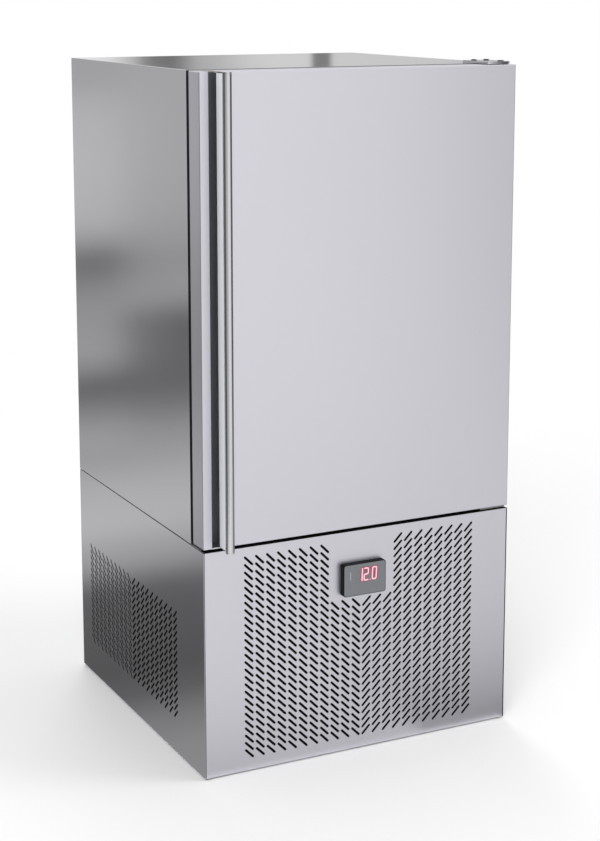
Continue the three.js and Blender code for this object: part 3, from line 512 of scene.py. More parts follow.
def addScrew(bm, place, facing, radius=3.2, tall=1.5):
    turn = Matrix.Translation(place) @ Vector(facing).to_track_quat("Z", "Y").to_matrix().to_4x4()
    lathe(bm, [(0, 0), (radius, 0), (radius, tall * 0.4), (radius * 0.85, tall * 0.8), (radius * 0.55, tall),
               (radius * 0.42, tall), (radius * 0.36, tall * 0.5), (0, tall * 0.5)], turn, 18)


def ringLoft(bm, x0, x1, z0, z1, radius, profile):
    # a closed profile of (outward, y) pairs carried round a rectangle with round corners
    rings = []
    for outward, y in profile:
        outline = roundedOutline(x0 - outward, x1 + outward, z0 - outward, z1 + outward, radius + outward)
        rings.append(ringAt(bm, outline, y))
    bridge(bm, rings + rings[:1])


def rectangle(x0, x1, y0, y1):
    return [(x0, y0), (x1, y0), (x1, y1), (x0, y1)]


def standUp(y, returnsBack=False):  # stands a flat sheet up in the plane at y
    turn = frameOf(xAxis, zAxis, (0, y, 0))
    return turn @ Matrix.Diagonal((1, 1, -1, 1)) if returnsBack else turn


def standing(like):  # a CAD node's corners, and the place of the middle of its base
    low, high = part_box(like)
    middle = (low + high) / 2
    return low, high, Matrix.Translation((middle.x, middle.y, low.z))


# cabinet shell and the door's outer skin, with their folded edges
shell = {"doorBend": 2.6, "casingBend": 2.2, "steps": 4, "recessEdge": 0.9, "tallEdge": 500.0}


def buildShell():
    low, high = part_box("outer_casing")
    bm = copyOf("outer_casing")
    roundEdges(bm, shell["casingBend"], shell["steps"], boxEdges(low, high, skip=(2, 3)))
    addPiece("cabinet_shell", bm, "outer_casing")

    low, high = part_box("door_outer_skin")
    bm = copyOf("door_outer_skin")
    roundEdges(bm, shell["doorBend"], shell["steps"], boxEdges(low, high, skip=(3,)))
    recessLow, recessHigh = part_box("handle_profile")
    same = limits["same"]

    def besideRecess(a, b):
        return (recessLow.x - mm < a.x < recessHigh.x + 2 * mm and abs(a.x - b.x) < same
                and abs(a.y - low.y) < same and abs(b.y - low.y) < same
                and abs(a.z - b.z) > shell["tallEdge"] * mm)
    roundEdges(bm, shell["recessEdge"], 2, besideRecess)
    addPiece("door_skin", bm, "door_outer_skin", finish=frontSteel)
    print("shell and door skin built")


# slotted panels of the machine compartment, with near-black foam behind the slots and along the top as
# painted shade
slotted = {
    "sheet": 1.0, "bend": 1.3, "bendSteps": 4, "edge": 0.15, "slotLong": 31.0, "slotWide": 5.7, "capSteps": 4,
    "front": {"pitch": 27.6, "rise": 17.65, "top": 504.0, "columns": 11, "rows": 27, "middle": 0.0},
    "side": {"pitch": 29.0, "rise": 16.25, "top": 342.0, "columns": 10, "rows": 16, "middle": 63.5},
    "clearColumns": 3, "clearRows": 8, "neckIn": 5.6,
    "matGap": 0.4, "matThick": 3.0, "sideMatThick": 0.75, "matEdge": 12.0, "matLap": 4.0, "matRound": 0.8,
    "tape": 1.2, "tapeIn": 1.6, "rail": 30.0, "sill": 5.0, "sillLap": 2.0, "sillGap": 0.1, "stripRound": 0.3,
}


def slotOutline(u, v, lean):
    half, radius = (slotted["slotLong"] - slotted["slotWide"]) / 2 * mm, slotted["slotWide"] / 2 * mm
    points = []
    for end in (1, -1):
        turn = 0 if end > 0 else math.pi
        cap = arc(0, 0, radius, turn - math.pi / 2, turn + math.pi / 2, slotted["capSteps"])
        points += [(x + end * half, y) for x, y in cap]
    c, s = math.cos(lean), math.sin(lean)
    return [(u + c * x - s * y, v + s * x + c * y) for x, y in points]


def slotField(field, kept=lambda column, row: True):  # two mirrored halves that lean to a V
    slots = []
    for half in (-1, 1):
        for column in range(field["columns"]):
            for row in range(field["rows"]):
                if kept(column, row):
                    u = field["middle"] + half * (column + 0.5) * field["pitch"]
                    v = field["top"] - row * field["rise"]
                    slots.append(slotOutline(u * mm, v * mm, half * math.pi / 4))
    return slots


def fieldLimits(field):  # left, right, bottom and top of the mat behind a field
    reach, edge = field["columns"] * field["pitch"] * mm, slotted["matEdge"] * mm
    middle, top = field["middle"] * mm, field["top"] * mm
    bottom = top - (field["rows"] - 1) * field["rise"] * mm
    return middle - reach, middle + reach, bottom - edge, top + edge


def foldedSheet(low, high, holes, folds):
    # a flat sheet in its own plane, with a bend and a return along the named edges
    thick, bend, edge = (slotted[key] * mm for key in ("sheet", "bend", "edge"))
    inset = {side: (bend if side in folds else 0.0) for side in ("left", "right", "bottom", "top")}
    x0, x1 = low[0] + inset["left"], high[0] - inset["right"]
    y0, y1 = low[1] + inset["bottom"], high[1] - inset["top"]
    flat = fromCurve([rectangle(x0, x1, y0, y1)] + holes, edge, True, thick, 1, -edge)
    bmesh.ops.translate(flat, verts=flat.verts, vec=(0, 0, thick / 2))
    steps = slotted["bendSteps"]
    for side, reach in folds.items():
        outer = arc(0, bend, bend, -math.pi / 2, 0, steps) + [(bend, reach)]
        inner = [(bend - thick, reach)] + arc(0, bend, bend - thick, 0, -math.pi / 2, steps)
        section = outer + inner
        if side in ("left", "right"):
            sign, at = (1, x1) if side == "right" else (-1, x0)
            prism(flat, [(at + sign * x, y) for x, y in section], y0, y1, (xAxis, zAxis, yAxis))
        else:
            sign, at = (1, y1) if side == "top" else (-1, y0)
            prism(flat, [(at + sign * x, y) for x, y in section], x0, x1, (yAxis, zAxis, xAxis))
    return flat


# a rounded near-black block, used as painted shade
def addShadeFoam(name, like, low, high, rounded):
    bm = bmesh.new()
    box(bm, low, high, rounded)
    addPiece(name, bm, like, False, shadeFoam)


def buildFrontPanel():
    def kept(column, row):  # the rows beside the controller have no slots near the middle
        return column >= slotted["clearColumns"] or row >= slotted["clearRows"]

    like = "front_grille_panel"
    low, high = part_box(like)
    neckLow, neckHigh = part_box("controller_body")
    inset = slotted["neckIn"] * mm
    opening = rectangle(neckLow.x + inset, neckHigh.x - inset, neckLow.z + inset, neckHigh.z - inset)
    folds = dict.fromkeys(("left", "right", "bottom", "top"), high.y - low.y)
    flat = foldedSheet((low.x, low.z), (high.x, high.z), slotField(slotted["front"], kept) + [opening], folds)
    bm = bmesh.new()
    mergeInto(bm, flat, standUp(low.y, True))
    addPiece("front_slotted_panel", bm, like, finish=frontSteel)

    # near-black mats behind the slots: painted shade inside the compartment
    left, right, bottom, top = fieldLimits(slotted["front"])
    near = low.y + (slotted["sheet"] + slotted["matGap"]) * mm
    far, lap = near + slotted["matThick"] * mm, slotted["matLap"] * mm
    neck = neckHigh.x - lap
    for name, x0, x1, z1 in (("left", left, -neck, top), ("right", neck, right, top),
                             ("middle", -neck, neck, neckLow.z + lap)):
        addShadeFoam("dust_mat_" + name, like, (x0, near, bottom), (x1, far, z1), slotted["matRound"])
    # near-black strips on top of the panel and on the sill, in the gap under the door: painted shade
    inside = slotted["tapeIn"] * mm
    addShadeFoam("shade_tape", like, (low.x + inside, low.y + inside, high.z),
            (high.x - inside, high.y, high.z + slotted["tape"] * mm), slotted["stripRound"])
    railLow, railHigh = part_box("support_frame")
    sillNear = railLow.y + slotted["rail"] * mm
    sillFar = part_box("outer_casing")[0].y + slotted["sillLap"] * mm
    sillTop = railHigh.z - slotted["sillGap"] * mm
    addShadeFoam("shade_sill", "support_frame", (low.x, sillNear, sillTop - slotted["sill"] * mm),
            (high.x, sillFar, sillTop), slotted["stripRound"])


def buildSidePanel(like, hand):
    low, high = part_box(like)
    outer = low.x if hand < 0 else high.x
    flat = foldedSheet((low.y, low.z), (high.y, high.z), slotField(slotted["side"]),
                       {"bottom": high.x - low.x})
    bm = bmesh.new()
    mergeInto(bm, flat, Matrix(((0, 0, -hand, outer), (1, 0, 0, 0), (0, 1, 0, 0), (0, 0, 0, 1))))
    addPiece(like.replace("_panel", "_slotted_panel"), bm, like)
    # a near-black mat behind the side slots: painted shade
    near, far, bottom, top = fieldLimits(slotted["side"])
    inner, thick = outer - hand * (slotted["sheet"] + slotted["matGap"]) * mm, slotted["sideMatThick"]
    x0, x1 = sorted((inner, inner - hand * thick * mm))
    addShadeFoam("dust_mat_side_" + like.split("_")[0], like, (x0, near, bottom), (x1, far, top), thick / 3)


def buildPanels():
    buildFrontPanel()
    buildSidePanel("left_side_panel", -1)
    buildSidePanel("right_side_panel", 1)
    print("slotted panels built")


# full-height handle: recess channel, web and round grip in one extrusion
handle = {
    "recess": 19.0, "wall": 3.0, "web": 4.0, "grip": 10.0, "gripOffset": 6.0, "lip": 1.8, "steps": 28,
    "flank": 0.3, "capEdge": 0.5,
}


def buildHandle():
    low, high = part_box("handle_profile")
    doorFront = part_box("door_outer_skin")[0].y
    wall, radius, hair = handle["wall"] * mm, handle["grip"] * mm, limits["same"]
    recessLeft = low.x + wall
    webLeft = recessLeft + handle["recess"] * mm
    webRight = webLeft + handle["web"] * mm
    gripX, gripY = webLeft + handle["gripOffset"] * mm, low.y + radius
    start = math.acos((webRight - gripX) / radius)
    end = math.acos((webLeft - gripX) / radius) - math.tau
    grip = arc(gripX, gripY, radius, start, end, handle["steps"])
    skinRear, floor = doorFront + handle["lip"] * mm, high.y - wall
    outline = [(low.x, skinRear), (low.x, high.y), (webRight, high.y)] + grip
    outline += [(webLeft, doorFront), (webLeft, floor), (recessLeft, floor), (recessLeft, skinRear)]
    bm = bmesh.new()
    prism(bm, outline, low.z, high.z, (xAxis, yAxis, zAxis))
    extrusion = addPiece("handle_extrusion", bm, "handle_profile").data
    for finish in (paintedShadeChannel, paintedLitWeb):
        extrusion.materials.append(finish.material)
    for face in extrusion.polygons:
        place, facing = face.center, face.normal
        if abs(place.x - webLeft) < hair and abs(facing.x) > 0.99 and place.y < doorFront:
            face.material_index = 2  # the web's left side, in painted light
        elif recessLeft - hair < place.x < webLeft + hair and place.y > doorFront:
            face.material_index = 1 if abs(facing.z) < 0.5 else 0  # inside the recess: painted shade on its walls
        elif place.x > gripX and facing.x > handle["flank"]:
            face.material_index = 1  # the grip's right flank, in painted shade
    for like in ("handle_cap_bottom", "handle_cap_top"):
        capLow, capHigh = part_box(like)
        plate = [(capLow.x, skinRear), (capLow.x, capHigh.y), (webRight, capHigh.y)]
        plate += grip + [(webLeft, skinRear)]
        bm = bmesh.new()
        prism(bm, plate, capLow.z, capHigh.z, (xAxis, yAxis, zAxis))
        softenEdges(bm, handle["capEdge"])
        addPiece(like.replace("handle_", "grip_"), bm, like)
    print("handle built")


# controller with its lit display
display = {
    "head": 17.0, "corner": 6.0, "bevel": 1.1, "neck": 6.0, "neckRound": 1.5, "pane": 1.4, "paneEdge": 0.3,
    "digitTall": 31.2, "digitWide": 13.0, "stroke": 2.8, "slant": 0.05,
    "cells": {"1": 42.3, "2": 57.9, "0": 79.4}, "digitTop": 12.0, "dot": 69.0, "dotDown": 0.3,
    "dotWide": 1.1, "dotGlow": 0.9, "glow": 1.0, "halo": 3.0, "bend": 3.2, "ghostThin": 0.36,
    "ghostEnd": 0.32, "ghostGap": 0.14,
    "tick": (17.4, 17.7, 1.5), "dash": (20.0, 33.0, 1.0), "dashDown": 8.0,
    "proud": {"halo": 0.06, "glow": 0.14, "core": 0.24, "mark": 0.2},
}
strokes = {"1": [(1, 0), (1, 1)], "2": [(0, 1), (1, 1), (1, 0.5), (0, 0.5), (0, 0), (1, 0)],
           "0": [(0, 0.5), (0, 1), (1, 1), (1, 0), (0, 0), (0, 0.5)]}


def ribbon(path, half, closed=False):  # outlines of a flat stroke along a path, with round ends
    left, right = [], []
    count = len(path)
    for k, at in enumerate(path):
        before = path[k - 1] if k or closed else at
        after = path[(k + 1) % count] if k < count - 1 or closed else at
        run = (after - before).normalized()
        side = Vector((-run.y, run.x)) * half
        left.append(at + side)
        right.append(at - side)
    if closed:
        return [[tuple(p) for p in left], [tuple(p) for p in right]]
    start, end = (path[0] - path[1]).normalized(), (path[-1] - path[-2]).normalized()
    tips = []
    for at, out in ((path[-1], end), (path[0], start)):
        turn = math.atan2(out.y, out.x)
        cap = arc(at.x, at.y, half, turn + math.pi / 2, turn - math.pi / 2, 6)
        tips.append([Vector(p) for p in cap][1:-1])
    return [[tuple(p) for p in left + tips[0] + right[::-1] + tips[1]]]


def digitPath(digit, low, high):
    wide = (display["digitWide"] - display["stroke"]) * mm
    tall = (display["digitTall"] - display["stroke"]) * mm
    left = low.x + display["cells"][digit] * mm - wide / 2
    bottom = high.z - (display["digitTop"] + display["stroke"] / 2) * mm - tall
    corners = [(left + u * wide + display["slant"] * v * tall, bottom + v * tall) for u, v in strokes[digit]]
    flat = bentPath([(x, z, 0) for x, z in corners], display["bend"] * mm, 5)
    return [Vector((p.x, p.y)) for p in flat]


def buildHousing():
    low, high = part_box("controller_body")
    bevelled, corner = display["bevel"] * mm, display["corner"] * mm
    back = low.y + display["head"] * mm

    def outlineAt(inset):
        return roundedOutline(low.x + inset, high.x - inset, low.z + inset, high.z - inset,
                              corner - inset * 0.7)

    bm = bmesh.new()
    rings = [ringAt(bm, outlineAt(share * bevelled), y) for share, y in (
        (0, back), (0, low.y + bevelled), (0.3, low.y + bevelled * 0.3), (1, low.y), (1.15, low.y + 0.4 * mm),
        (1.3, low.y + 2 * mm))]
    bridge(bm, rings)
    bm.faces.new(rings[0])
    bm.faces.new(rings[-1])
    neck = display["neck"] * mm
    box(bm, (low.x + neck, back - 1 * mm, low.z + neck), (high.x - neck, high.y, high.z - neck),
        display["neckRound"])
    addPiece("controller_housing", bm, "controller_body", finish=controlBlack)

    edge, thick = display["paneEdge"] * mm, display["pane"] * mm
    sheet = fromCurve([outlineAt(1.3 * bevelled)], edge, True, thick, 2, -edge)
    bm = bmesh.new()
    mergeInto(bm, sheet, standUp(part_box("controller_lens")[0].y + thick / 2))
    addPiece("display_window", bm, "controller_lens")


def buildDisplay():
    low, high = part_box("controller_body")
    face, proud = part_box("controller_lens")[0].y, display["proud"]
    core, glow, halo, ghost, mark = (bmesh.new() for k in range(5))

    def addMark(bm, outlines, kind):  # a thin raised shape on the lens
        raised = proud[kind] * mm
        mergeInto(bm, fromCurve(outlines, 0.0, True, raised), standUp(face - raised / 2))

    half = display["stroke"] / 2 * mm
    for digit in strokes:
        closed = digit == "0"
        path = digitPath(digit, low, high)[1 if closed else 0:]
        for bm, kind, grow in ((halo, "halo", display["halo"]), (glow, "glow", display["glow"]),
                               (core, "core", 0)):
            addMark(bm, ribbon(path, half + grow * mm, closed), kind)
    dotX, dotZ = low.x + display["dot"] * mm, digitPath("2", low, high)[-1].y - display["dotDown"] * mm
    for bm, kind, grow in ((glow, "glow", display["dotGlow"]), (core, "core", 0)):
        addMark(bm, [around(dotX, dotZ, (display["dotWide"] + grow) * mm, 16)], kind)

    one = digitPath("1", low, high)
    bottom, top = one[0], one[-1]
    middle = (top + bottom) / 2
    wide = Vector(((display["digitWide"] - display["stroke"]) * mm, 0))
    # the unlit strokes beside the 1, made to glow faintly: painted light
    ghosts = [(at - wide, at - wide * display["ghostEnd"]) for at in (top, middle, bottom)]
    for near, far in ((top, middle), (middle, bottom)):
        gap = (near - far) * display["ghostGap"]
        ghosts.append((far + gap - wide, near - gap - wide))
    for ends in ghosts:
        addMark(ghost, ribbon(ends, display["stroke"] * display["ghostThin"] * mm), "mark")
    place, tall, thick = (v * mm for v in display["tick"])
    ends = [Vector((low.x + place, middle.y + side * tall / 2)) for side in (-1, 1)]
    addMark(mark, ribbon(ends, thick / 2), "mark")
    start, end, thick = (v * mm for v in display["dash"])
    ends = [Vector((low.x + x, middle.y - display["dashDown"] * mm)) for x in (start, end)]
    addMark(ghost, ribbon(ends, thick / 2), "mark")
    # the unlit strokes, the dash and the pale tick glow though they are not lit: painted light
    for name, bm, finish in (
            ("digits", core, lit("lit digits", (1.0, 0.56, 0.64), 1.25)),
            ("glow", glow, lit("digit glow", (0.5, 0.1, 0.17), 0.9)),
            ("halo", halo, lit("digit halo", (0.29, 0.10, 0.125), 0.9)),
            ("unlit", ghost, lit("unlit digits", (0.20, 0.155, 0.18), 0.95)),
            ("tick", mark, lit("pale tick", (0.5, 0.5, 0.54), 0.9))):
        addPiece("display_" + name, bm, "controller_lens", False, finish)
    print("controller built")


# hinge brackets and their bolts
hinge = {
    "edge": 0.4, "boltHead": 7.5, "smallHead": 6.75, "boltTall": 2.5, "boltBack": 22.0, "boltApart": 34.0,
}


def addBolt(bm, place, radius):
    tall = hinge["boltTall"]
    lathe(bm, [(0, 0), (radius, 0), (radius, tall * 0.55), (radius * 0.82, tall * 0.9), (radius * 0.5, tall),
               (radius * 0.48, tall * 0.35), (0, tall * 0.35)], Matrix.Translation(place), 24)


def buildHinges():
    for like in ("upper_hinge_bracket", "lower_hinge_bracket"):
        bm = copyOf(like)
        softenEdges(bm, hinge["edge"])
        addPiece(like.replace("hinge_bracket", "bracket_plate"), bm, like)
    low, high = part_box("upper_hinge_bracket")
    pinLow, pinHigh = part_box("hinge_bush_top")
    pin, middle = (pinLow + pinHigh) / 2, (low.x + high.x) / 2
    bm = bmesh.new()
    addBolt(bm, (pin.x, pin.y, high.z), hinge["boltHead"])
    for side in (-0.5, 0.5):
        x = middle + side * hinge["boltApart"] * mm
        addBolt(bm, (x, high.y - hinge["boltBack"] * mm, high.z), hinge["smallHead"])
    addPiece("bracket_bolts", bm, "upper_hinge_bracket", False, finishes["black_paint"])
    print("hinges built")


# chamber: liner, front frame, racks and wire shelves
chamber = {
    "cove": 20.0, "liner": 1.5, "coveSteps": 12, "rim": 3.0, "rimCorner": 14.0, "wires": 25, "wire": 2.0,
    "cross": 1.7, "crossBars": 2, "frameFit": 0.3, "rackEdge": 0.35, "screwRises": (0.08, 0.5, 0.92),
    "screwReach": 35.6, "screwIn": 55.0, "screwUp": 20.0,
}


def buildLiner():
    low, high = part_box("inner_liner")
    thick, cove, fit = (chamber[key] * mm for key in ("liner", "cove", "frameFit"))

    def outlineAt(inset, radius):
        return roundedOutline(low.x + inset, high.x - inset, low.z + inset, high.z - inset, radius,
                              chamber["coveSteps"])

    outer, inner, soft = (outlineAt(inset, radius) for inset, radius in (
        (0, cove + thick), (thick, cove), (thick * 3, cove - 2 * thick)))
    bm = bmesh.new()
    rings = [ringAt(bm, outline, y) for outline, y in (
        (outer, high.y), (outer, low.y + 0.2 * mm), (inner, low.y), (inner, high.y - 3 * thick),
        (inner, high.y - 2.2 * thick), (soft, high.y - thick))]
    bridge(bm, rings)
    bm.faces.new(rings[0])
    bm.faces.new(rings[-1])
    addPiece("chamber_liner", bm, "inner_liner")

    hole = outlineAt(-fit, cove + thick + fit)
    low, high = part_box("front_frame")
    sheet = fromCurve([rectangle(low.x, high.x, low.z, high.z), hole], fit, True, high.y - low.y, 1, -fit)
    bm = bmesh.new()
    mergeInto(bm, sheet, standUp((low.y + high.y) / 2))
    addPiece("front_breaker_frame", bm, "front_frame")


def buildRack(like, hand):
    low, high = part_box(like)
    bm = copyOf(like)
    softenEdges(bm, chamber["rackEdge"])
    inset = chamber["screwIn"] * mm
    x = (low.x if hand < 0 else high.x) - hand * chamber["screwReach"] * mm
    for y in (low.y + inset, high.y - inset):
        for share in chamber["screwRises"]:
            z = low.z + (high.z - low.z) * share + chamber["screwUp"] * mm
            addScrew(bm, (x, y, z), (-hand, 0, 0))
    addPiece(like.replace("rack_", "tray_rack_"), bm, like)


def buildShelf(like):
    low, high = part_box(like)
    rim, wire, cross = (chamber[key] * mm for key in ("rim", "wire", "cross"))
    outline = roundedOutline(low.x + rim, high.x - rim, low.y + rim, high.y - rim,
                             chamber["rimCorner"] * mm, 6)
    bm = fromCurve([[(x, y, low.z + rim) for x, y in outline]], rim, True)
    wires, bars = chamber["wires"] + 1, chamber["crossBars"] + 1
    along = [low.x + (high.x - low.x) * k / wires for k in range(1, wires)]
    across = [low.y + (high.y - low.y) * k / bars for k in range(1, bars)]
    addWire(bm, [[(x, low.y + rim, high.z - wire), (x, high.y - rim, high.z - wire)] for x in along], wire)
    addWire(bm, [[(low.x + rim, y, low.z + cross), (high.x - rim, y, low.z + cross)] for y in across], cross)
    addPiece(like.replace("wire_", "round_wire_"), bm, like)


def buildChamber():
    buildLiner()
    buildRack("rack_left", -1)
    buildRack("rack_right", 1)
    buildShelf("wire_shelf_1")
    buildShelf("wire_shelf_2")
    print("chamber built")


# air side: cowl, guards, fan wheels and motors
air = {
    "port": 145.0, "portSteps": 72, "cowlReturn": 10.0, "cowlScrewIn": 14.0,
    "cowlScrews": (0.03, 0.35, 0.65, 0.97), "guardRings": 9, "guardFirst": 30.0, "guardLast": 139.0,
    "guardWire": 1.5, "guardSpoke": 1.7, "guardEye": 4.0, "guardReach": 154.0, "hub": 42.0,
    "hubDepth": 34.0, "blades": 5, "bladeThick": 2.2, "alongSteps": 10, "chordSteps": 8, "tipRound": 0.16,
    "pitch": 0.75, "twist": 0.32, "sweep": 10.0, "camber": 2.4, "motor": 46.0, "motorGap": 0.6,
    "shaft": 5.0, "boreFit": 0.5, "plateGap": 0.3, "armWide": 12.0, "armThick": 3.0, "armBend": 3.0,
    "armTop": 10.0, "armReach": 158.0, "condenserReach": 164.0, "tab": 11.0, "radius": 135.0,
    "condenserRadius": 142.0, "chord": 1.9, "rootChord": 0.62, "tipNarrow": 0.72, "flatten": 0.66,
    "bladeDrop": 1.0, "span": 30.0, "condenserSpan": 60.0, "shaftLong": 17.0, "armScrew": 3.0,
    "guardScrew": 3.4, "guardScrewTall": 5.2, "cowlSeat": 0.5,
}


def bladeRow(along, root, tip):  # one row of a blade's corners, from edge to edge
    depth, steps = air["hubDepth"] * mm, air["chordSteps"]
    reach = root + along * (tip - root)
    over = max(0.0, (along - 1 + air["tipRound"]) / air["tipRound"])
    width = depth * air["chord"] * (air["rootChord"] + (1 - air["rootChord"]) * along)
    width *= math.sqrt(1 - air["tipNarrow"] * over * over)
    pitch = air["pitch"] - air["twist"] * along
    row = []
    for j in range(steps + 1):
        across = j / steps - 0.5
        chord = across * width
        swing = (chord * math.cos(pitch) + air["sweep"] * mm * along * along) / reach
        camber = air["camber"] * mm * (1 - 4 * across * across)
        rise = depth / 2 + chord * math.sin(pitch) * air["flatten"] + camber - air["bladeDrop"] * mm
        row.append((reach * math.cos(swing), reach * math.sin(swing), rise))
    return row


def addBlades(bm, radius, turn):
    sheet = bmesh.new()
    shares = [i / air["alongSteps"] for i in range(air["alongSteps"] + 1)]
    rows = [[sheet.verts.new(v) for v in bladeRow(along, air["hub"] * 0.8 * mm, radius * mm)]
            for along in shares]
    for near, far in zip(rows, rows[1:]):
        for j in range(air["chordSteps"]):
            sheet.faces.new((near[j], near[j + 1], far[j + 1], far[j]))
    bmesh.ops.recalc_face_normals(sheet, faces=sheet.faces)
    bmesh.ops.solidify(sheet, geom=list(sheet.faces), thickness=air["bladeThick"] * mm)
    for k in range(air["blades"]):
        mergeInto(bm, sheet.copy(), turn @ Matrix.Rotation(math.tau * k / air["blades"], 4, "Z"))
    sheet.free()


def buildWheel(like, name, radius):
    low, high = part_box(like)
    axle = axleOf[like]
    turn = Matrix.Translation((axle.x, low.y, axle.z)) @ alongY
    hub, depth, bore = air["hub"], air["hubDepth"], air["shaft"] + air["boreFit"]
    bm = bmesh.new()
    lathe(bm, [(0, 0), (hub * 0.5, 0), (hub * 0.56, 0.8), (hub * 0.8, 0.9), (hub * 0.94, 3), (hub, 8),
               (hub, depth), (hub - 3, depth), (hub - 3, 9), (bore * 2, 9), (bore * 2, depth - 2),
               (bore, depth - 2), (bore, 12), (0, 12)], turn, 48)
    addBlades(bm, radius, turn)
    addPiece(name, bm, like)


def buildMotor(like, name, wheel, span, reach, plateBack):
    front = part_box(wheel)[1].y + air["motorGap"] * mm
    axle = axleOf[wheel]
    turn = Matrix.Translation((axle.x, front, axle.z)) @ alongY
    r, shaft, back = air["motor"], air["shaft"], -air["shaftLong"]
    bm = bmesh.new()
    lathe(bm, [(0, 0), (r * 0.5, 0), (r * 0.55, 1.2), (r * 0.86, 1.4), (r * 0.97, 3.5), (r, 6),
               (r, span * 0.44), (r - 1.5, span * 0.46), (r - 1.5, span * 0.54), (r, span * 0.56),
               (r, span * 0.84), (r * 0.93, span * 0.95), (r * 0.82, span), (r * 0.4, span),
               (r * 0.36, span - 1.5), (0, span - 1.5)], turn, 48)
    lathe(bm, [(0, back), (shaft * 0.85, back), (shaft, back + 1), (shaft, 1), (0, 1)], turn, 24)
    wide, thick, tab, bend, top = (
        air[key] * mm for key in ("armWide", "armThick", "tab", "armBend", "armTop"))
    far, near, inner = reach * mm, plateBack + air["plateGap"] * mm - front, r * 0.8 * mm
    section = [(inner, top - thick), (far - thick - bend, top - thick)]  # one arm, with a foot on the plate
    section += arc(far - thick - bend, top - thick - bend, bend, math.pi / 2, 0, 4)
    section += [(far - thick, near + thick), (far - tab, near + thick), (far - tab, near), (far, near)]
    section += arc(far - thick - bend, top - thick - bend, thick + bend, 0, math.pi / 2, 5) + [(inner, top)]
    for k in range(3):
        arm = bmesh.new()
        prism(arm, section, -wide / 2, wide / 2, (xAxis, zAxis, yAxis))
        addScrew(arm, (far - tab * 0.45, 0, near + thick), (0, 0, 1), air["armScrew"])
        mergeInto(bm, arm, turn @ Matrix.Rotation(math.radians(90 + 120 * k), 4, "Z"))
    addPiece(name, bm, like)


def buildGuard(like, name):
    low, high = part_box(like)
    wire, spoke, first, last, eye, reach = (
        air["guard" + key] * mm for key in ("Wire", "Spoke", "First", "Last", "Eye", "Reach"))
    back = high.y - spoke
    front = back - (spoke + wire) * 0.9
    middle = Vector(((low.x + high.x) / 2, back, (low.z + high.z) / 2))
    step = (last - first) / (air["guardRings"] - 1)
    rings = [[(middle.x + x, front, middle.z + z) for x, z in around(0, 0, first + step * k, 64)]
             for k in range(air["guardRings"])]
    bm = fromCurve(rings, wire, True, resolution=1)
    for k in range(4):
        turn = math.radians(45 + 90 * k)
        out = Vector((math.cos(turn), 0, math.sin(turn)))
        tip = middle + out * reach
        addWire(bm, [[middle + out * (first - 2 * mm), middle + out * (reach - eye)]], spoke)
        addWire(bm, [[(tip.x + x, back, tip.z + z) for x, z in around(0, 0, eye, 20)]], spoke, True)
        addScrew(bm, (tip.x, high.y, tip.z), (0, -1, 0), air["guardScrew"], air["guardScrewTall"])
    addPiece(name, bm, like)


def buildAirSide():
    low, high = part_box("fan_cowl")
    wheels = {place: "evaporator_fan_" + place for place in ("lower", "upper")}
    holes = [around(axleOf[wheel].x, axleOf[wheel].z, air["port"] * mm, air["portSteps"])
             for wheel in wheels.values()]
    folds = dict.fromkeys(("bottom", "top"), air["cowlReturn"] * mm)
    flat = foldedSheet((low.x, low.z), (high.x, high.z), holes, folds)
    bm = bmesh.new()
    mergeInto(bm, flat, standUp(low.y, True))
    inset = air["cowlScrewIn"] * mm
    for x in (low.x + inset, high.x - inset):
        for share in air["cowlScrews"]:
            addScrew(bm, (x, low.y, low.z + (high.z - low.z) * share), (0, -1, 0))
    addPiece("air_cowl", bm, "fan_cowl")
    cowlBack = low.y + (slotted["sheet"] + air["cowlSeat"]) * mm
    for place, wheel in wheels.items():
        buildWheel(wheel, "air_wheel_" + place, air["radius"])
        buildMotor("fan_motor_" + place, "air_motor_" + place, wheel, air["span"], air["armReach"], cowlBack)
        buildGuard("fan_guard_" + place, "ring_guard_" + place)
    print("air side built")


# finned coils with their end plates and return bends
coil = {
    "pitch": 4.4, "fin": 0.35, "finInY": 1.0, "finInZ": 2.0, "plate": 1.2, "plateEdge": 0.3, "tube": 4.8,
    "bend": 12.0, "plateIn": 14.0, "tubePast": 2.0, "condenser": (12, 3), "evaporator": (22, 3),
}


def buildCoil(name, finish=None):
    like, (rows, columns) = name + "_coil", coil[name]
    low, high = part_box(like)
    fin, plate, finInY, finInZ, past, radius = (
        coil[key] * mm for key in ("fin", "plate", "finInY", "finInZ", "tubePast", "tube"))
    x0, x1 = low.x + coil["plateIn"] * mm, high.x - coil["plateIn"] * mm
    count = int((x1 - x0) / (coil["pitch"] * mm))
    bm = bmesh.new()
    for k in range(1, count):
        x = x0 + (x1 - x0) * k / count
        box(bm, (x - fin / 2, low.y + finInY, low.z + finInZ),
            (x + fin / 2, high.y - finInY, high.z - finInZ))
    for x in (x0, x1):
        box(bm, (x - plate / 2, low.y, low.z), (x + plate / 2, high.y, high.z), coil["plateEdge"])
    addPiece(name + "_fins", bm, like, finish=finish)

    bm = bmesh.new()
    heights = [low.z + (high.z - low.z) * (r + 0.5) / rows for r in range(rows)]
    lanes = [low.y + (high.y - low.y) * (c + 0.5) / columns for c in range(columns)]
    addWire(bm, [[(x0 - past, y, z), (x1 + past, y, z)] for y in lanes for z in heights], radius)
    out = coil["bend"] * mm - radius
    for y in lanes:
        for r, (z0, z1) in enumerate(zip(heights, heights[1:])):
            side, x = (-1, x0) if r % 2 else (1, x1)
            middle, half = (z0 + z1) / 2, (z1 - z0) / 2
            turn = [(x + side * out * math.cos(t), y, middle + half * math.sin(t))
                    for t in [math.pi * (k / 10 - 0.5) for k in range(1, 10)]]
            addWire(bm, [[(x, y, z0)] + turn + [(x, y, z1)]], radius, resolution=2)
    addPiece(name + "_tubes", bm, like, False, finishes["copper"])


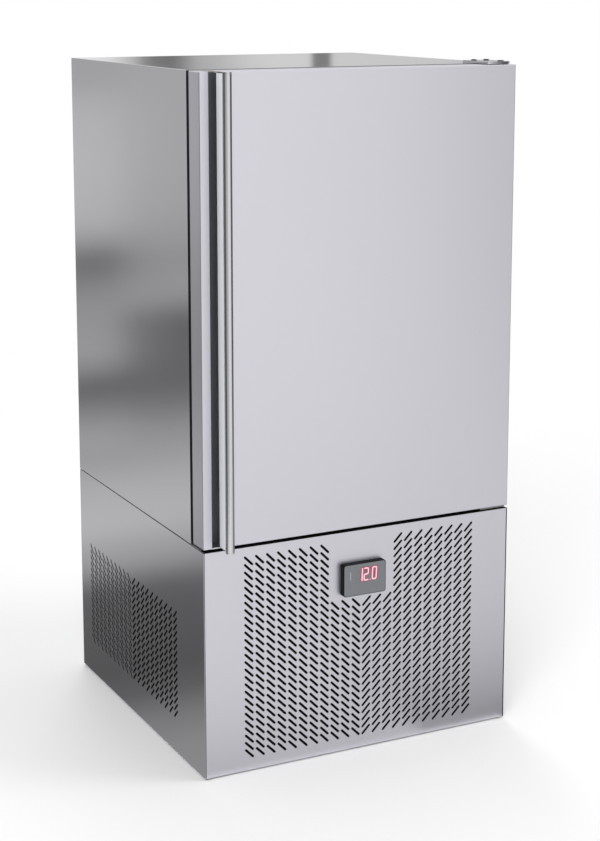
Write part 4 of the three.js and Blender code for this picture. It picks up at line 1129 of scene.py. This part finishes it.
# refrigeration plant in the machine compartment
plant = {
    "pot": 108.0, "bulge": 3.0, "potTall": 250.0, "mount": 16.0, "mountRadius": 12.0, "plateThick": 4.0,
    "plateProud": 16.0, "plateEdge": 0.4, "terminal": (58.0, 30.0, 66.0), "terminalUp": 60.0,
    "terminalIn": 24.0, "fillAcross": 60.0, "fillPipe": 4.0, "receiver": 55.0, "drier": 22.0, "pipe": 8.0,
    "sleeve": 0.9, "sleeveLong": 9.0, "stub": 16.0, "bend": 60.0, "pipeBend": 34.0, "liquidX": -225.0,
    "suctionX": -270.0, "riserY": 329.0, "portX": -264.2, "portZ": 300.0, "fit": 0.3, "port": 152.0,
    "boxEdge": 3.0, "lid": 6.0, "lidRim": 12.0, "lidEdge": 2.0, "lidLap": 4.0, "lidScrew": 4.0,
    "louvre": 3.0, "louvres": 7, "louvreStep": 1.4, "glands": 3, "glandStep": 2.6, "terminalEdge": 4.0,
}


def buildPot():
    low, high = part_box("compressor")
    r, bulge, tall = plant["pot"], plant["bulge"], plant["potTall"]
    proud, thick, edge, up = (
        plant[key] * mm for key in ("plateProud", "plateThick", "plateEdge", "terminalUp"))
    reach, cx, cy = r * mm, (low.x + high.x) / 2, low.y + (r + bulge) * mm
    plateLow = low.z + plant["mount"] * mm
    base = plateLow + thick
    bm = bmesh.new()
    lathe(bm, [(0, 0), (r * 0.7, 0), (r * 0.86, 6), (r * 0.96, 20), (r, 42), (r, tall * 0.47),
               (r + bulge, tall * 0.475), (r + bulge, tall * 0.505), (r - 2, tall * 0.515),
               (r - 4, tall * 0.53), (r - 4, tall * 0.74), (r * 0.92, tall * 0.83), (r * 0.8, tall * 0.91),
               (r * 0.6, tall * 0.965), (r * 0.36, tall * 0.993), (0, tall)],
          Matrix.Translation((cx, cy, base)), 64)
    plate = roundedOutline(cx - reach - proud, cx + reach + proud, cy - reach, cy + reach, proud, 6)
    mergeInto(bm, fromCurve([plate], edge, True, thick, 1, -edge),
              Matrix.Translation((0, 0, plateLow + thick / 2)))
    wide, deep, rise = (v * mm for v in plant["terminal"])
    front = cy - reach
    box(bm, (cx - wide / 2, front - deep, base + up),
        (cx + wide / 2, front + plant["terminalIn"] * mm, base + up + rise), plant["terminalEdge"])
    fillX = cx + plant["fillAcross"] * mm
    addPipe(bm, [(fillX, cy, base + (tall - 24) * mm), (fillX, cy, base + (tall - 2) * mm)],
            plant["fillPipe"] * mm)
    addPiece("compressor_pot", bm, "compressor")

    bm = bmesh.new()
    rubber = plant["mountRadius"]
    for u in (-1, 1):
        for v in (-1, 1):
            turn = Matrix.Translation((cx + u * reach, cy + v * (reach - proud), low.z))
            lathe(bm, [(0, 0), (rubber, 0), (rubber, 4), (rubber * 0.75, 6), (rubber * 0.75, 10),
                       (rubber, 12), (rubber, 16), (0, 16)], turn, 24)
            lathe(bm, [(0, 19.9), (7, 19.9), (7, 24), (3, 25), (3, 30), (0, 30)], turn, 6)
    addPiece("compressor_mounts", bm, "compressor", False, finishes["seal_rubber"])


def buildReceiver():
    low, high, turn = standing("liquid_receiver")
    r, tall = plant["receiver"], (high.z - low.z) / mm
    addTurned("receiver_shell", "liquid_receiver", [
        (0, 5), (r * 0.7, 5), (r * 0.7, 0), (r * 0.76, 0), (r * 0.8, 6), (r * 0.95, 14), (r, 26),
        (r, tall * 0.49), (r + 0.2, tall * 0.495), (r + 0.2, tall * 0.505), (r, tall * 0.51),
        (r, tall - 34), (r * 0.96, tall - 22), (r * 0.84, tall - 11), (r * 0.6, tall - 3), (r * 0.3, tall),
        (0, tall)], turn, 56)
    low, high, turn = standing("filter_drier")
    r, tall, pipe = plant["drier"], (high.z - low.z) / mm, plant["pipe"]
    addTurned("drier_shell", "filter_drier", [
        (0, 0), (pipe, 0), (pipe, 6), (r * 0.7, 13), (r * 0.94, 18), (r, 24), (r, tall - 24),
        (r * 0.94, tall - 18), (r * 0.7, tall - 13), (pipe, tall - 6), (pipe, tall), (0, tall)], turn, 40)
    low, high, turn = standing("receiver_line")
    tall = (high.z - low.z) / mm
    bm = bmesh.new()
    lathe(bm, [(0, 0), (pipe * 0.8, 0), (pipe * 0.8, tall), (0, tall)], turn, 24)
    lathe(bm, [(pipe * 0.7, tall * 0.2), (pipe * 1.5, tall * 0.2), (pipe * 1.5, tall * 0.62),
               (pipe * 0.7, tall * 0.62)], turn, 6)
    addPiece("receiver_union", bm, "receiver_line", finish=brass)


def buildPipes():
    pipe, stub, bend, fit = (plant[key] * mm for key in ("pipe", "stub", "bend", "fit"))
    riserY, liquidX, suctionX = (plant[key] * mm for key in ("riserY", "liquidX", "suctionX"))
    low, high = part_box("filter_drier")
    x, y, z = (low.x + high.x) / 2, (low.y + high.y) / 2, high.z + fit
    up = z + 2 * stub
    routes = {"liquid_line": [(x, y, z), (x, y, up), (x, riserY, up), (liquidX, riserY, up),
                              (liquidX, riserY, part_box("liquid_line")[1].z)]}
    low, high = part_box("compressor")
    half = (plant["pot"] + plant["bulge"]) * mm
    x, y, z = (low.x + high.x) / 2, low.y + half, high.z + fit
    up = z + 4 * stub
    routes["suction_line"] = [(x, y, z), (x, y, up), (x, riserY, up), (suctionX, riserY, up),
                              (suctionX, riserY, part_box("suction_line")[1].z)]
    start = x - half - fit
    out = start - 2 * stub
    potZ = low.z + (plant["mount"] + plant["plateThick"] + plant["potTall"] / 2) * mm
    shroud, portX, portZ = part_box("condenser_shroud")[1].y, plant["portX"] * mm, plant["portZ"] * mm
    routes["discharge_line"] = [(start, y, potZ), (out, y, potZ), (out, y - bend, potZ + stub),
                                (out, shroud + 2 * bend, portZ), (portX, shroud + bend, portZ),
                                (portX, shroud + fit, portZ)]
    for like, route in routes.items():
        bm = bmesh.new()
        addPipe(bm, route, pipe, plant["pipeBend"] * mm, 4)
        for end, on in ((route[0], route[1]), (route[-1], route[-2])):  # a brazed sleeve at each end
            run = (Vector(on) - Vector(end)).normalized()
            first = Vector(end) + run * 2 * mm
            sleeve = [first, first + run * plant["sleeveLong"] * mm]
            addWire(bm, [sleeve], pipe + plant["sleeve"] * mm, resolution=4)
        addPiece(like.replace("_line", "_pipe"), bm, like)


def buildControlCase():
    low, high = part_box("control_box")
    lid, rim, rib = plant["lid"] * mm, plant["lidRim"] * mm, plant["louvre"] * mm
    bm = bmesh.new()
    box(bm, (low.x + lid, low.y, low.z), (high.x, high.y - rib, high.z), plant["boxEdge"])
    box(bm, (low.x, low.y + rim, low.z + rim),
        (low.x + lid + plant["lidLap"] * mm, high.y - rib - rim, high.z - rim), plant["lidEdge"])
    for y in (low.y + 2 * rim, high.y - rib - 2 * rim):
        for z in (low.z + 2 * rim, high.z - 2 * rim):
            addScrew(bm, (low.x, y, z), (-1, 0, 0), plant["lidScrew"])
    for k in range(plant["louvres"]):  # cooling louvres on the back and cable glands below them
        z = high.z - (3 + plant["louvreStep"] * k) * rim
        box(bm, (low.x + 3 * rim, high.y - 3 * rib, z), (high.x - 2 * rim, high.y, z + 2 * rib),
            plant["louvre"] * 0.9)
    for k in range(plant["glands"]):
        x = low.x + (4 + plant["glandStep"] * k) * rim
        turn = Matrix.Translation((x, high.y - rib, low.z + 4 * rim)) @ alongY
        lathe(bm, [(0, 0), (8, 0), (8, 4), (6.6, 4.6), (6.2, 9), (3, 9.6), (2.6, 6), (0, 6)], turn, 6)
    addPiece("control_case", bm, "control_box")


def buildPlant():
    low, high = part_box("condenser_shroud")
    axle = axleOf["condenser_fan"]
    port = around(axle.x, axle.z, plant["port"] * mm, air["portSteps"])
    folds = dict.fromkeys(("left", "right", "bottom", "top"), high.y - low.y)
    flat = foldedSheet((low.x, low.z), (high.x, high.z), [port], folds)
    bm = bmesh.new()
    mergeInto(bm, flat, standUp(high.y))
    addPiece("fan_shroud", bm, "condenser_shroud")
    buildWheel("condenser_fan", "condenser_wheel", air["condenserRadius"])
    buildMotor("condenser_fan_motor", "condenser_motor", "condenser_fan", air["condenserSpan"],
               air["condenserReach"], high.y)
    buildCoil("condenser", shadeDarkFins)
    buildCoil("evaporator")
    buildPot()
    buildReceiver()
    buildPipes()
    buildControlCase()
    print("plant built")


# small pieces turned or swept: feet, glands, drain, bushes, gasket
trim = {
    "footPad": 20.0, "threadPitch": 1.0, "bore": 6.5, "gasketWide": 24.0, "gasketBase": 5.0, "gasketDip": 3.0,
    "gasketCorner": 10.0, "panelBend": 2.6, "screw": 3.4, "screwIn": 12.0, "rearScrews": 5, "rearEdge": 0.3,
}


def buildFoot(like):
    low, high, turn = standing(like)
    pad, tall = trim["footPad"], high.z / mm
    bm = bmesh.new()
    lathe(bm, [(0, 0), (pad - 1, 0), (pad, 1), (pad, 5), (pad - 1, 6), (14, 8.4), (12, 9), (12, 9.5),
               (0, 9.5)], turn, 40)
    lathe(bm, [(0, 9), (12.6, 9), (13, 9.6), (13, 18.9), (12.4, 19.7), (0, 19.7)], turn, 6)
    thread, z = [(0, 19)], 19
    while z < tall - 1.5:
        thread += [(5.1, z), (6, z + trim["threadPitch"] / 2)]
        z += trim["threadPitch"]
    lathe(bm, thread + [(5.1, z), (4.4, tall), (0, tall)], turn, 24)
    addPiece("levelling_" + like, bm, like)


def buildTurned():
    low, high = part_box("mains_gland")
    middle = (low + high) / 2
    addTurned("cable_gland", "mains_gland", [
        (0, 0), (14, 0), (14, 18.3), (19, 18.3), (19, 22.6), (17, 23), (16, 24), (16, 28.5), (14, 31),
        (9, 32), (8.4, 30), (0, 30)], Matrix.Translation((middle.x, low.y, middle.z)) @ alongY, 40)
    low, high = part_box("probe_gland")
    middle = (low + high) / 2
    turn = Matrix.Translation((high.x, middle.y, middle.z)) @ Matrix.Rotation(math.radians(-90), 4, "Y")
    addTurned("probe_entry", "probe_gland", [
        (0, 0), (13, 0), (13, 4), (12, 5), (9.6, 5.6), (9, 7), (9, 14.5), (8, 16), (4, 16), (3.6, 13),
        (0, 13)], turn, 36)
    low, high, turn = standing("drain_tube")
    tall, outer = (high.z - low.z) / mm, (high.x - low.x) / 2 / mm
    addTurned("drain_pipe", "drain_tube", [
        (outer - 2, 0.4), (outer - 1.6, 0), (outer - 0.4, 0), (outer, 0.4), (outer, tall - 0.3),
        (outer - 0.4, tall), (outer - 2, tall), (outer - 2, 0.4)], turn, 36)
    for place in ("top", "bottom"):
        like, bore = "hinge_bush_" + place, trim["bore"]
        low, high, turn = standing(like)
        tall, outer = (high.z - low.z) / mm, (high.x - low.x) / 2 / mm
        addTurned("pivot_bush_" + place, like, [
            (bore, 0.5), (bore + 0.5, 0), (outer - 0.4, 0), (outer, 0.4), (outer, tall - 0.4),
            (outer - 0.4, tall), (bore + 0.5, tall), (bore, tall - 0.5), (bore, 0.5)], turn, 40)


def buildGasket():
    low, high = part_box("door_gasket")
    wide, base, deep = trim["gasketWide"], trim["gasketBase"], (high.y - low.y) / mm
    dip = base + trim["gasketDip"]
    half = (base + dip) / 2  # the bellows between the base and the soft face
    profile = [(0.6, 0), (wide - 0.6, 0), (wide, 0.6), (wide, base - 0.8), (wide - 1, base), (19.4, base),
               (18.2, half), (18.6, dip), (18.5, deep - 0.8), (17.6, deep), (6.4, deep), (5.5, deep - 0.8),
               (5.4, dip), (5.8, half), (4.6, base), (1, base), (0, base - 0.8), (0, 0.6)]
    inset = wide * mm
    bm = bmesh.new()
    ringLoft(bm, low.x + inset, high.x - inset, low.z + inset, high.z - inset, trim["gasketCorner"] * mm,
             [(out * mm, low.y + y * mm) for out, y in profile])
    # a real gasket, in the near-black foam finish that is darker than the rubber: painted shade in the gap
    # beside the door
    addPiece("bellows_gasket", bm, "door_gasket", finish=shadeFoam)


def buildRear(like, finish=None):  # a back panel with a row of screws along each edge
    low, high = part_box(like)
    bm = copyOf(like)
    softenEdges(bm, trim["rearEdge"])
    edge, last = trim["screwIn"] * mm, trim["rearScrews"] - 1
    wide, tall = high.x - low.x - 2 * edge, high.z - low.z - 2 * edge
    places = [(x, low.z + edge + tall * k / last) for k in range(last + 1)
              for x in (low.x + edge, high.x - edge)]
    places += [(low.x + edge + wide * k / last, z) for k in range(1, last)
               for z in (low.z + edge, high.z - edge)]
    for x, z in places:
        addScrew(bm, (x, high.y, z), (0, 1, 0), trim["screw"])
    addPiece(like.replace("rear_", "screwed_rear_"), bm, like, finish=finish)


def buildTrim():
    for end in ("front", "rear"):
        for hand in ("left", "right"):
            buildFoot("foot_%s_%s" % (end, hand))
    buildTurned()
    buildGasket()
    low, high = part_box("door_inner_panel")
    same = limits["same"]
    bm = copyOf("door_inner_panel")
    roundEdges(bm, trim["panelBend"], 4, lambda a, b: abs(a.y - high.y) < same and abs(b.y - high.y) < same)
    addPiece("door_dished_panel", bm, "door_inner_panel")
    buildRear("rear_panel", frontSteel)
    buildRear("rear_vent_panel")
    print("trim built")


# folded frame parts keep the CAD shape, with softened edges
softened = {"support_frame": 1.2, "base_plate": 0.4, "drip_tray": 0.4,
            "post_front_left": 0.5, "post_front_right": 0.5, "post_rear_left": 0.5, "post_rear_right": 0.5}


def buildRest():
    for like, radius in softened.items():
        bm = copyOf(like)
        softenEdges(bm, radius)
        addPiece(like + "_edged", bm, like)
    for name, node in nodes.items():
        for place in node.material_slots:
            place.material = finishes[slotOf[name]].material
    print("frame parts built, and all CAD nodes finished")


# studio: pale floor, white surround, soft lamps, and grey cards that only gloss sees
studio = {
    "floor": 9.0, "floorShade": 0.9, "fadeFrom": 1.6, "fadeTo": 3.2, "surround": 0.62, "aim": (0, 0, 0.8),
    "lamps": {
        "key": {"place": (-3.2, -4.2, 4.2), "size": 3.2, "power": 190.0},
        "fill": {"place": (4.0, -2.6, 3.0), "size": 3.0, "power": 90.0},
        "back": {"place": (0.8, 4.0, 3.8), "size": 3.0, "power": 90.0},
    },
}
cards = {  # a corner, the side that shades along it, the other side, and (share, brightness) stops
    "leftBack": {
        "corner": (-2.3, 2.5, 0), "along": (0, 0, 2.6), "across": (0.94, 0, 0),
        "stops": [(0.0, 0.46), (0.03, 0.38), (0.06, 0.24), (0.09, 0.17), (0.15, 0.17), (0.185, 0.14),
                  (0.2, 0.2), (0.215, 0.4), (0.235, 0.48), (0.26, 0.45), (0.28, 0.4), (0.3, 0.46),
                  (0.35, 0.52), (0.42, 0.55), (0.53, 0.56), (1.0, 0.6)]},
    "backLeft": {
        "corner": (-1.36, 2.5, 0), "along": (0, 0, 2.6), "across": (1.36, 0, 0),
        "stops": [(0.0, 0.5), (0.03, 0.47), (0.06, 0.33), (0.09, 0.19), (0.105, 0.2), (0.125, 0.36),
                  (0.15, 0.48), (0.19, 0.44), (0.22, 0.41), (0.247, 0.34), (0.278, 0.22), (0.295, 0.24),
                  (0.315, 0.45), (0.34, 0.62), (0.37, 0.66), (0.43, 0.69), (0.49, 0.67), (0.52, 0.62),
                  (0.55, 0.52), (1.0, 0.52)]},
    "left": {
        "corner": (-2.3, -0.87, 0), "along": (0, 3.37, 0), "across": (0, 0, 3.0),
        "stops": [(0.0, 0.14), (0.5, 0.12), (0.7, 0.16), (0.8, 0.3), (1.0, 0.4)]},
    "frontLeft": {
        "corner": (-2.3, -0.87, 0), "along": (1.2, -1.95, 0), "across": (0, 0, 3.0),
        "stops": [(0.0, 0.4), (0.3, 0.55), (1.0, 0.75)]},
    "right": {
        "corner": (2.3, -3.1, 0), "along": (0, 6.1, 0), "across": (0, 0, 3.0),
        "stops": [(0.0, 0.65), (0.1, 0.45), (0.2, 0.14), (0.38, 0.12), (0.46, 0.34), (0.6, 0.5),
                  (1.0, 0.6)]},
    "rightBack": {
        "corner": (0.0, 3.0, 0), "along": (2.9, 0, 0), "across": (0, 0, 2.8),
        "stops": [(0.0, 0.9), (0.2, 0.88), (0.235, 0.8), (0.252, 0.66), (0.27, 0.5), (0.285, 0.3),
                  (0.3, 0.2), (0.328, 0.17), (0.345, 0.26), (0.367, 0.44), (0.407, 0.53), (0.446, 0.64),
                  (0.487, 0.69), (0.547, 0.69), (0.556, 0.2), (0.578, 0.2), (0.588, 0.66), (0.67, 0.65),
                  (1.0, 0.6)]},
    # the floor cards are darker near the object: a painted shadow, seen only in reflections
    "floorFront": {
        "corner": (-0.42, -0.4, 0.001), "along": (0, -2.6, 0), "across": (0.6, 0, 0),
        "stops": [(0.0, 0.56), (0.06, 0.68), (0.2, 0.84), (0.4, 0.92), (1.0, 0.96)]},
    "floorFrontRight": {
        "corner": (0.18, -0.4, 0.001), "along": (0, -2.6, 0), "across": (2.6, 0, 0),
        "stops": [(0.0, 0.28), (0.06, 0.42), (0.2, 0.7), (0.45, 0.82), (1.0, 0.88)]},
    "floorLeft": {
        "corner": (-0.401, -0.8, 0.001), "along": (0, 3.3, 0), "across": (-1.9, 0, 0),
        "stops": [(0.0, 0.42), (0.19, 0.36), (0.24, 0.28), (0.29, 0.165), (0.34, 0.13), (0.47, 0.15),
                  (0.52, 0.17), (0.55, 0.26), (0.585, 0.42), (0.62, 0.5), (0.653, 0.55), (0.69, 0.64),
                  (0.73, 0.67), (0.8, 0.64), (0.85, 0.61), (0.89, 0.56), (0.95, 0.49), (1.0, 0.47)]},
    "floorRight": {
        "corner": (0.401, -0.4, 0.001), "along": (1.9, 0, 0), "across": (0, 3.4, 0),
        "stops": [(0.0, 0.3), (0.3, 0.42), (1.0, 0.6)]},
    "floorBack": {
        "corner": (-0.401, 0.42, 0.001), "along": (0, 2.5, 0), "across": (0.802, 0, 0),
        "stops": [(0.0, 0.3), (0.3, 0.42), (1.0, 0.6)]},
}


def makeCard(name, card):
    along, across = Vector(card["along"]), Vector(card["across"])
    bm = bmesh.new()
    bm.faces.new([bm.verts.new(c) for c in ((0, 0, 0), (1, 0, 0), (1, 1, 0), (0, 1, 0))])
    mesh = bpy.data.meshes.new("card_" + name)
    bm.to_mesh(mesh)
    bm.free()
    surface = linked("card_" + name, mesh)
    spin = Matrix((along, across, along.cross(across).normalized())).transposed().to_4x4()
    surface.matrix_world = Matrix.Translation(card["corner"]) @ spin
    finish = Finish("card " + name, {"Base Color": (0, 0, 0, 1), "Specular IOR Level": 0.0, "Roughness": 1.0,
                                     "Emission Strength": 1.0})
    spot = finish.add("SeparateXYZ", {}, {0: finish.place()})  # X is the share along the card
    finish.feed({"Emission Color": finish.add("ValToRGB", {"stops": card["stops"]}, {0: spot})})
    mesh.materials.append(finish.material)
    surface.visible_camera = surface.visible_diffuse = surface.visible_shadow = False
    surface.visible_transmission = surface.visible_volume_scatter = False


def makeSurround():  # plain white where the camera, gloss or glass sees it, and dimmer as a light
    world = bpy.data.worlds.new("studio")
    bpy.context.scene.world = world
    world.use_nodes = True
    sky = Nodes(world.node_tree)
    sky.tree.nodes.clear()
    seen, *others = (sky.add("LightPath", {}, {}, "Is %s Ray" % kind)
                     for kind in ("Camera", "Glossy", "Transmission"))
    for ray in others:
        seen = seen.maths("MAXIMUM", seen, ray)
    dim, white = (sky.add("Background", {}, {"Color": (1, 1, 1, 1), "Strength": strength})
                  for strength in (studio["surround"], 1.0))
    out = sky.tree.nodes.new("ShaderNodeOutputWorld")
    sky.plug(out.inputs["Surface"], sky.add("MixShader", {}, {0: seen, 1: dim, 2: white}))


def makeLamp(name, lamp):
    data = bpy.data.lights.new(name, "AREA")
    data.shape = "DISK"
    data.size = lamp["size"]
    data.energy = lamp["power"]
    light = linked(name, data)
    light.location = lamp["place"]
    light.rotation_euler = (Vector(studio["aim"]) - light.location).to_track_quat("-Z", "Y").to_euler()
    light.visible_glossy = False


def makeFloor():
    bm = bmesh.new()
    bmesh.ops.create_grid(bm, x_segments=2, y_segments=2, size=studio["floor"])
    floor = linked("floor", meshOf(bm, "floor"))
    pale = Finish("pale floor", {"Roughness": 0.7, "Specular IOR Level": 0.2})
    fine = pale.noise(120.0)
    tones = [shade((1, 1, 1), studio["floorShade"] * part) for part in (0.99, 1)]
    pale.feed({"Base Color": pale.mix(fine, *tones)})
    far = pale.add("VectorMath", {"operation": "LENGTH"}, {0: pale.place()}, "Value")
    fade = pale.add("MapRange", {"interpolation_type": "SMOOTHSTEP"}, {
        "Value": far, "From Min": studio["fadeFrom"], "From Max": studio["fadeTo"]})
    white = pale.add("Emission", {}, {"Color": (1, 1, 1, 1), "Strength": 1.0})
    both = pale.add("MixShader", {}, {0: fade, 1: Wire(pale, pale.shader.outputs[0]), 2: white})
    pale.plug(pale.tree.nodes["Material Output"].inputs["Surface"], both)
    floor.data.materials.append(pale.material)


def makeStudio():
    makeSurround()
    for name, lamp in studio["lamps"].items():
        makeLamp(name, lamp)
    makeFloor()
    for name, card in cards.items():
        makeCard(name, card)
    print("studio lit:", len(cards), "cards")


makeCamera()
makeStudio()
buildShell()
buildPanels()
buildHandle()
buildHousing()
buildDisplay()
buildHinges()
buildChamber()
buildAirSide()
buildPlant()
buildTrim()
buildRest()

scene = bpy.context.scene
scene.view_settings.view_transform = "Standard"
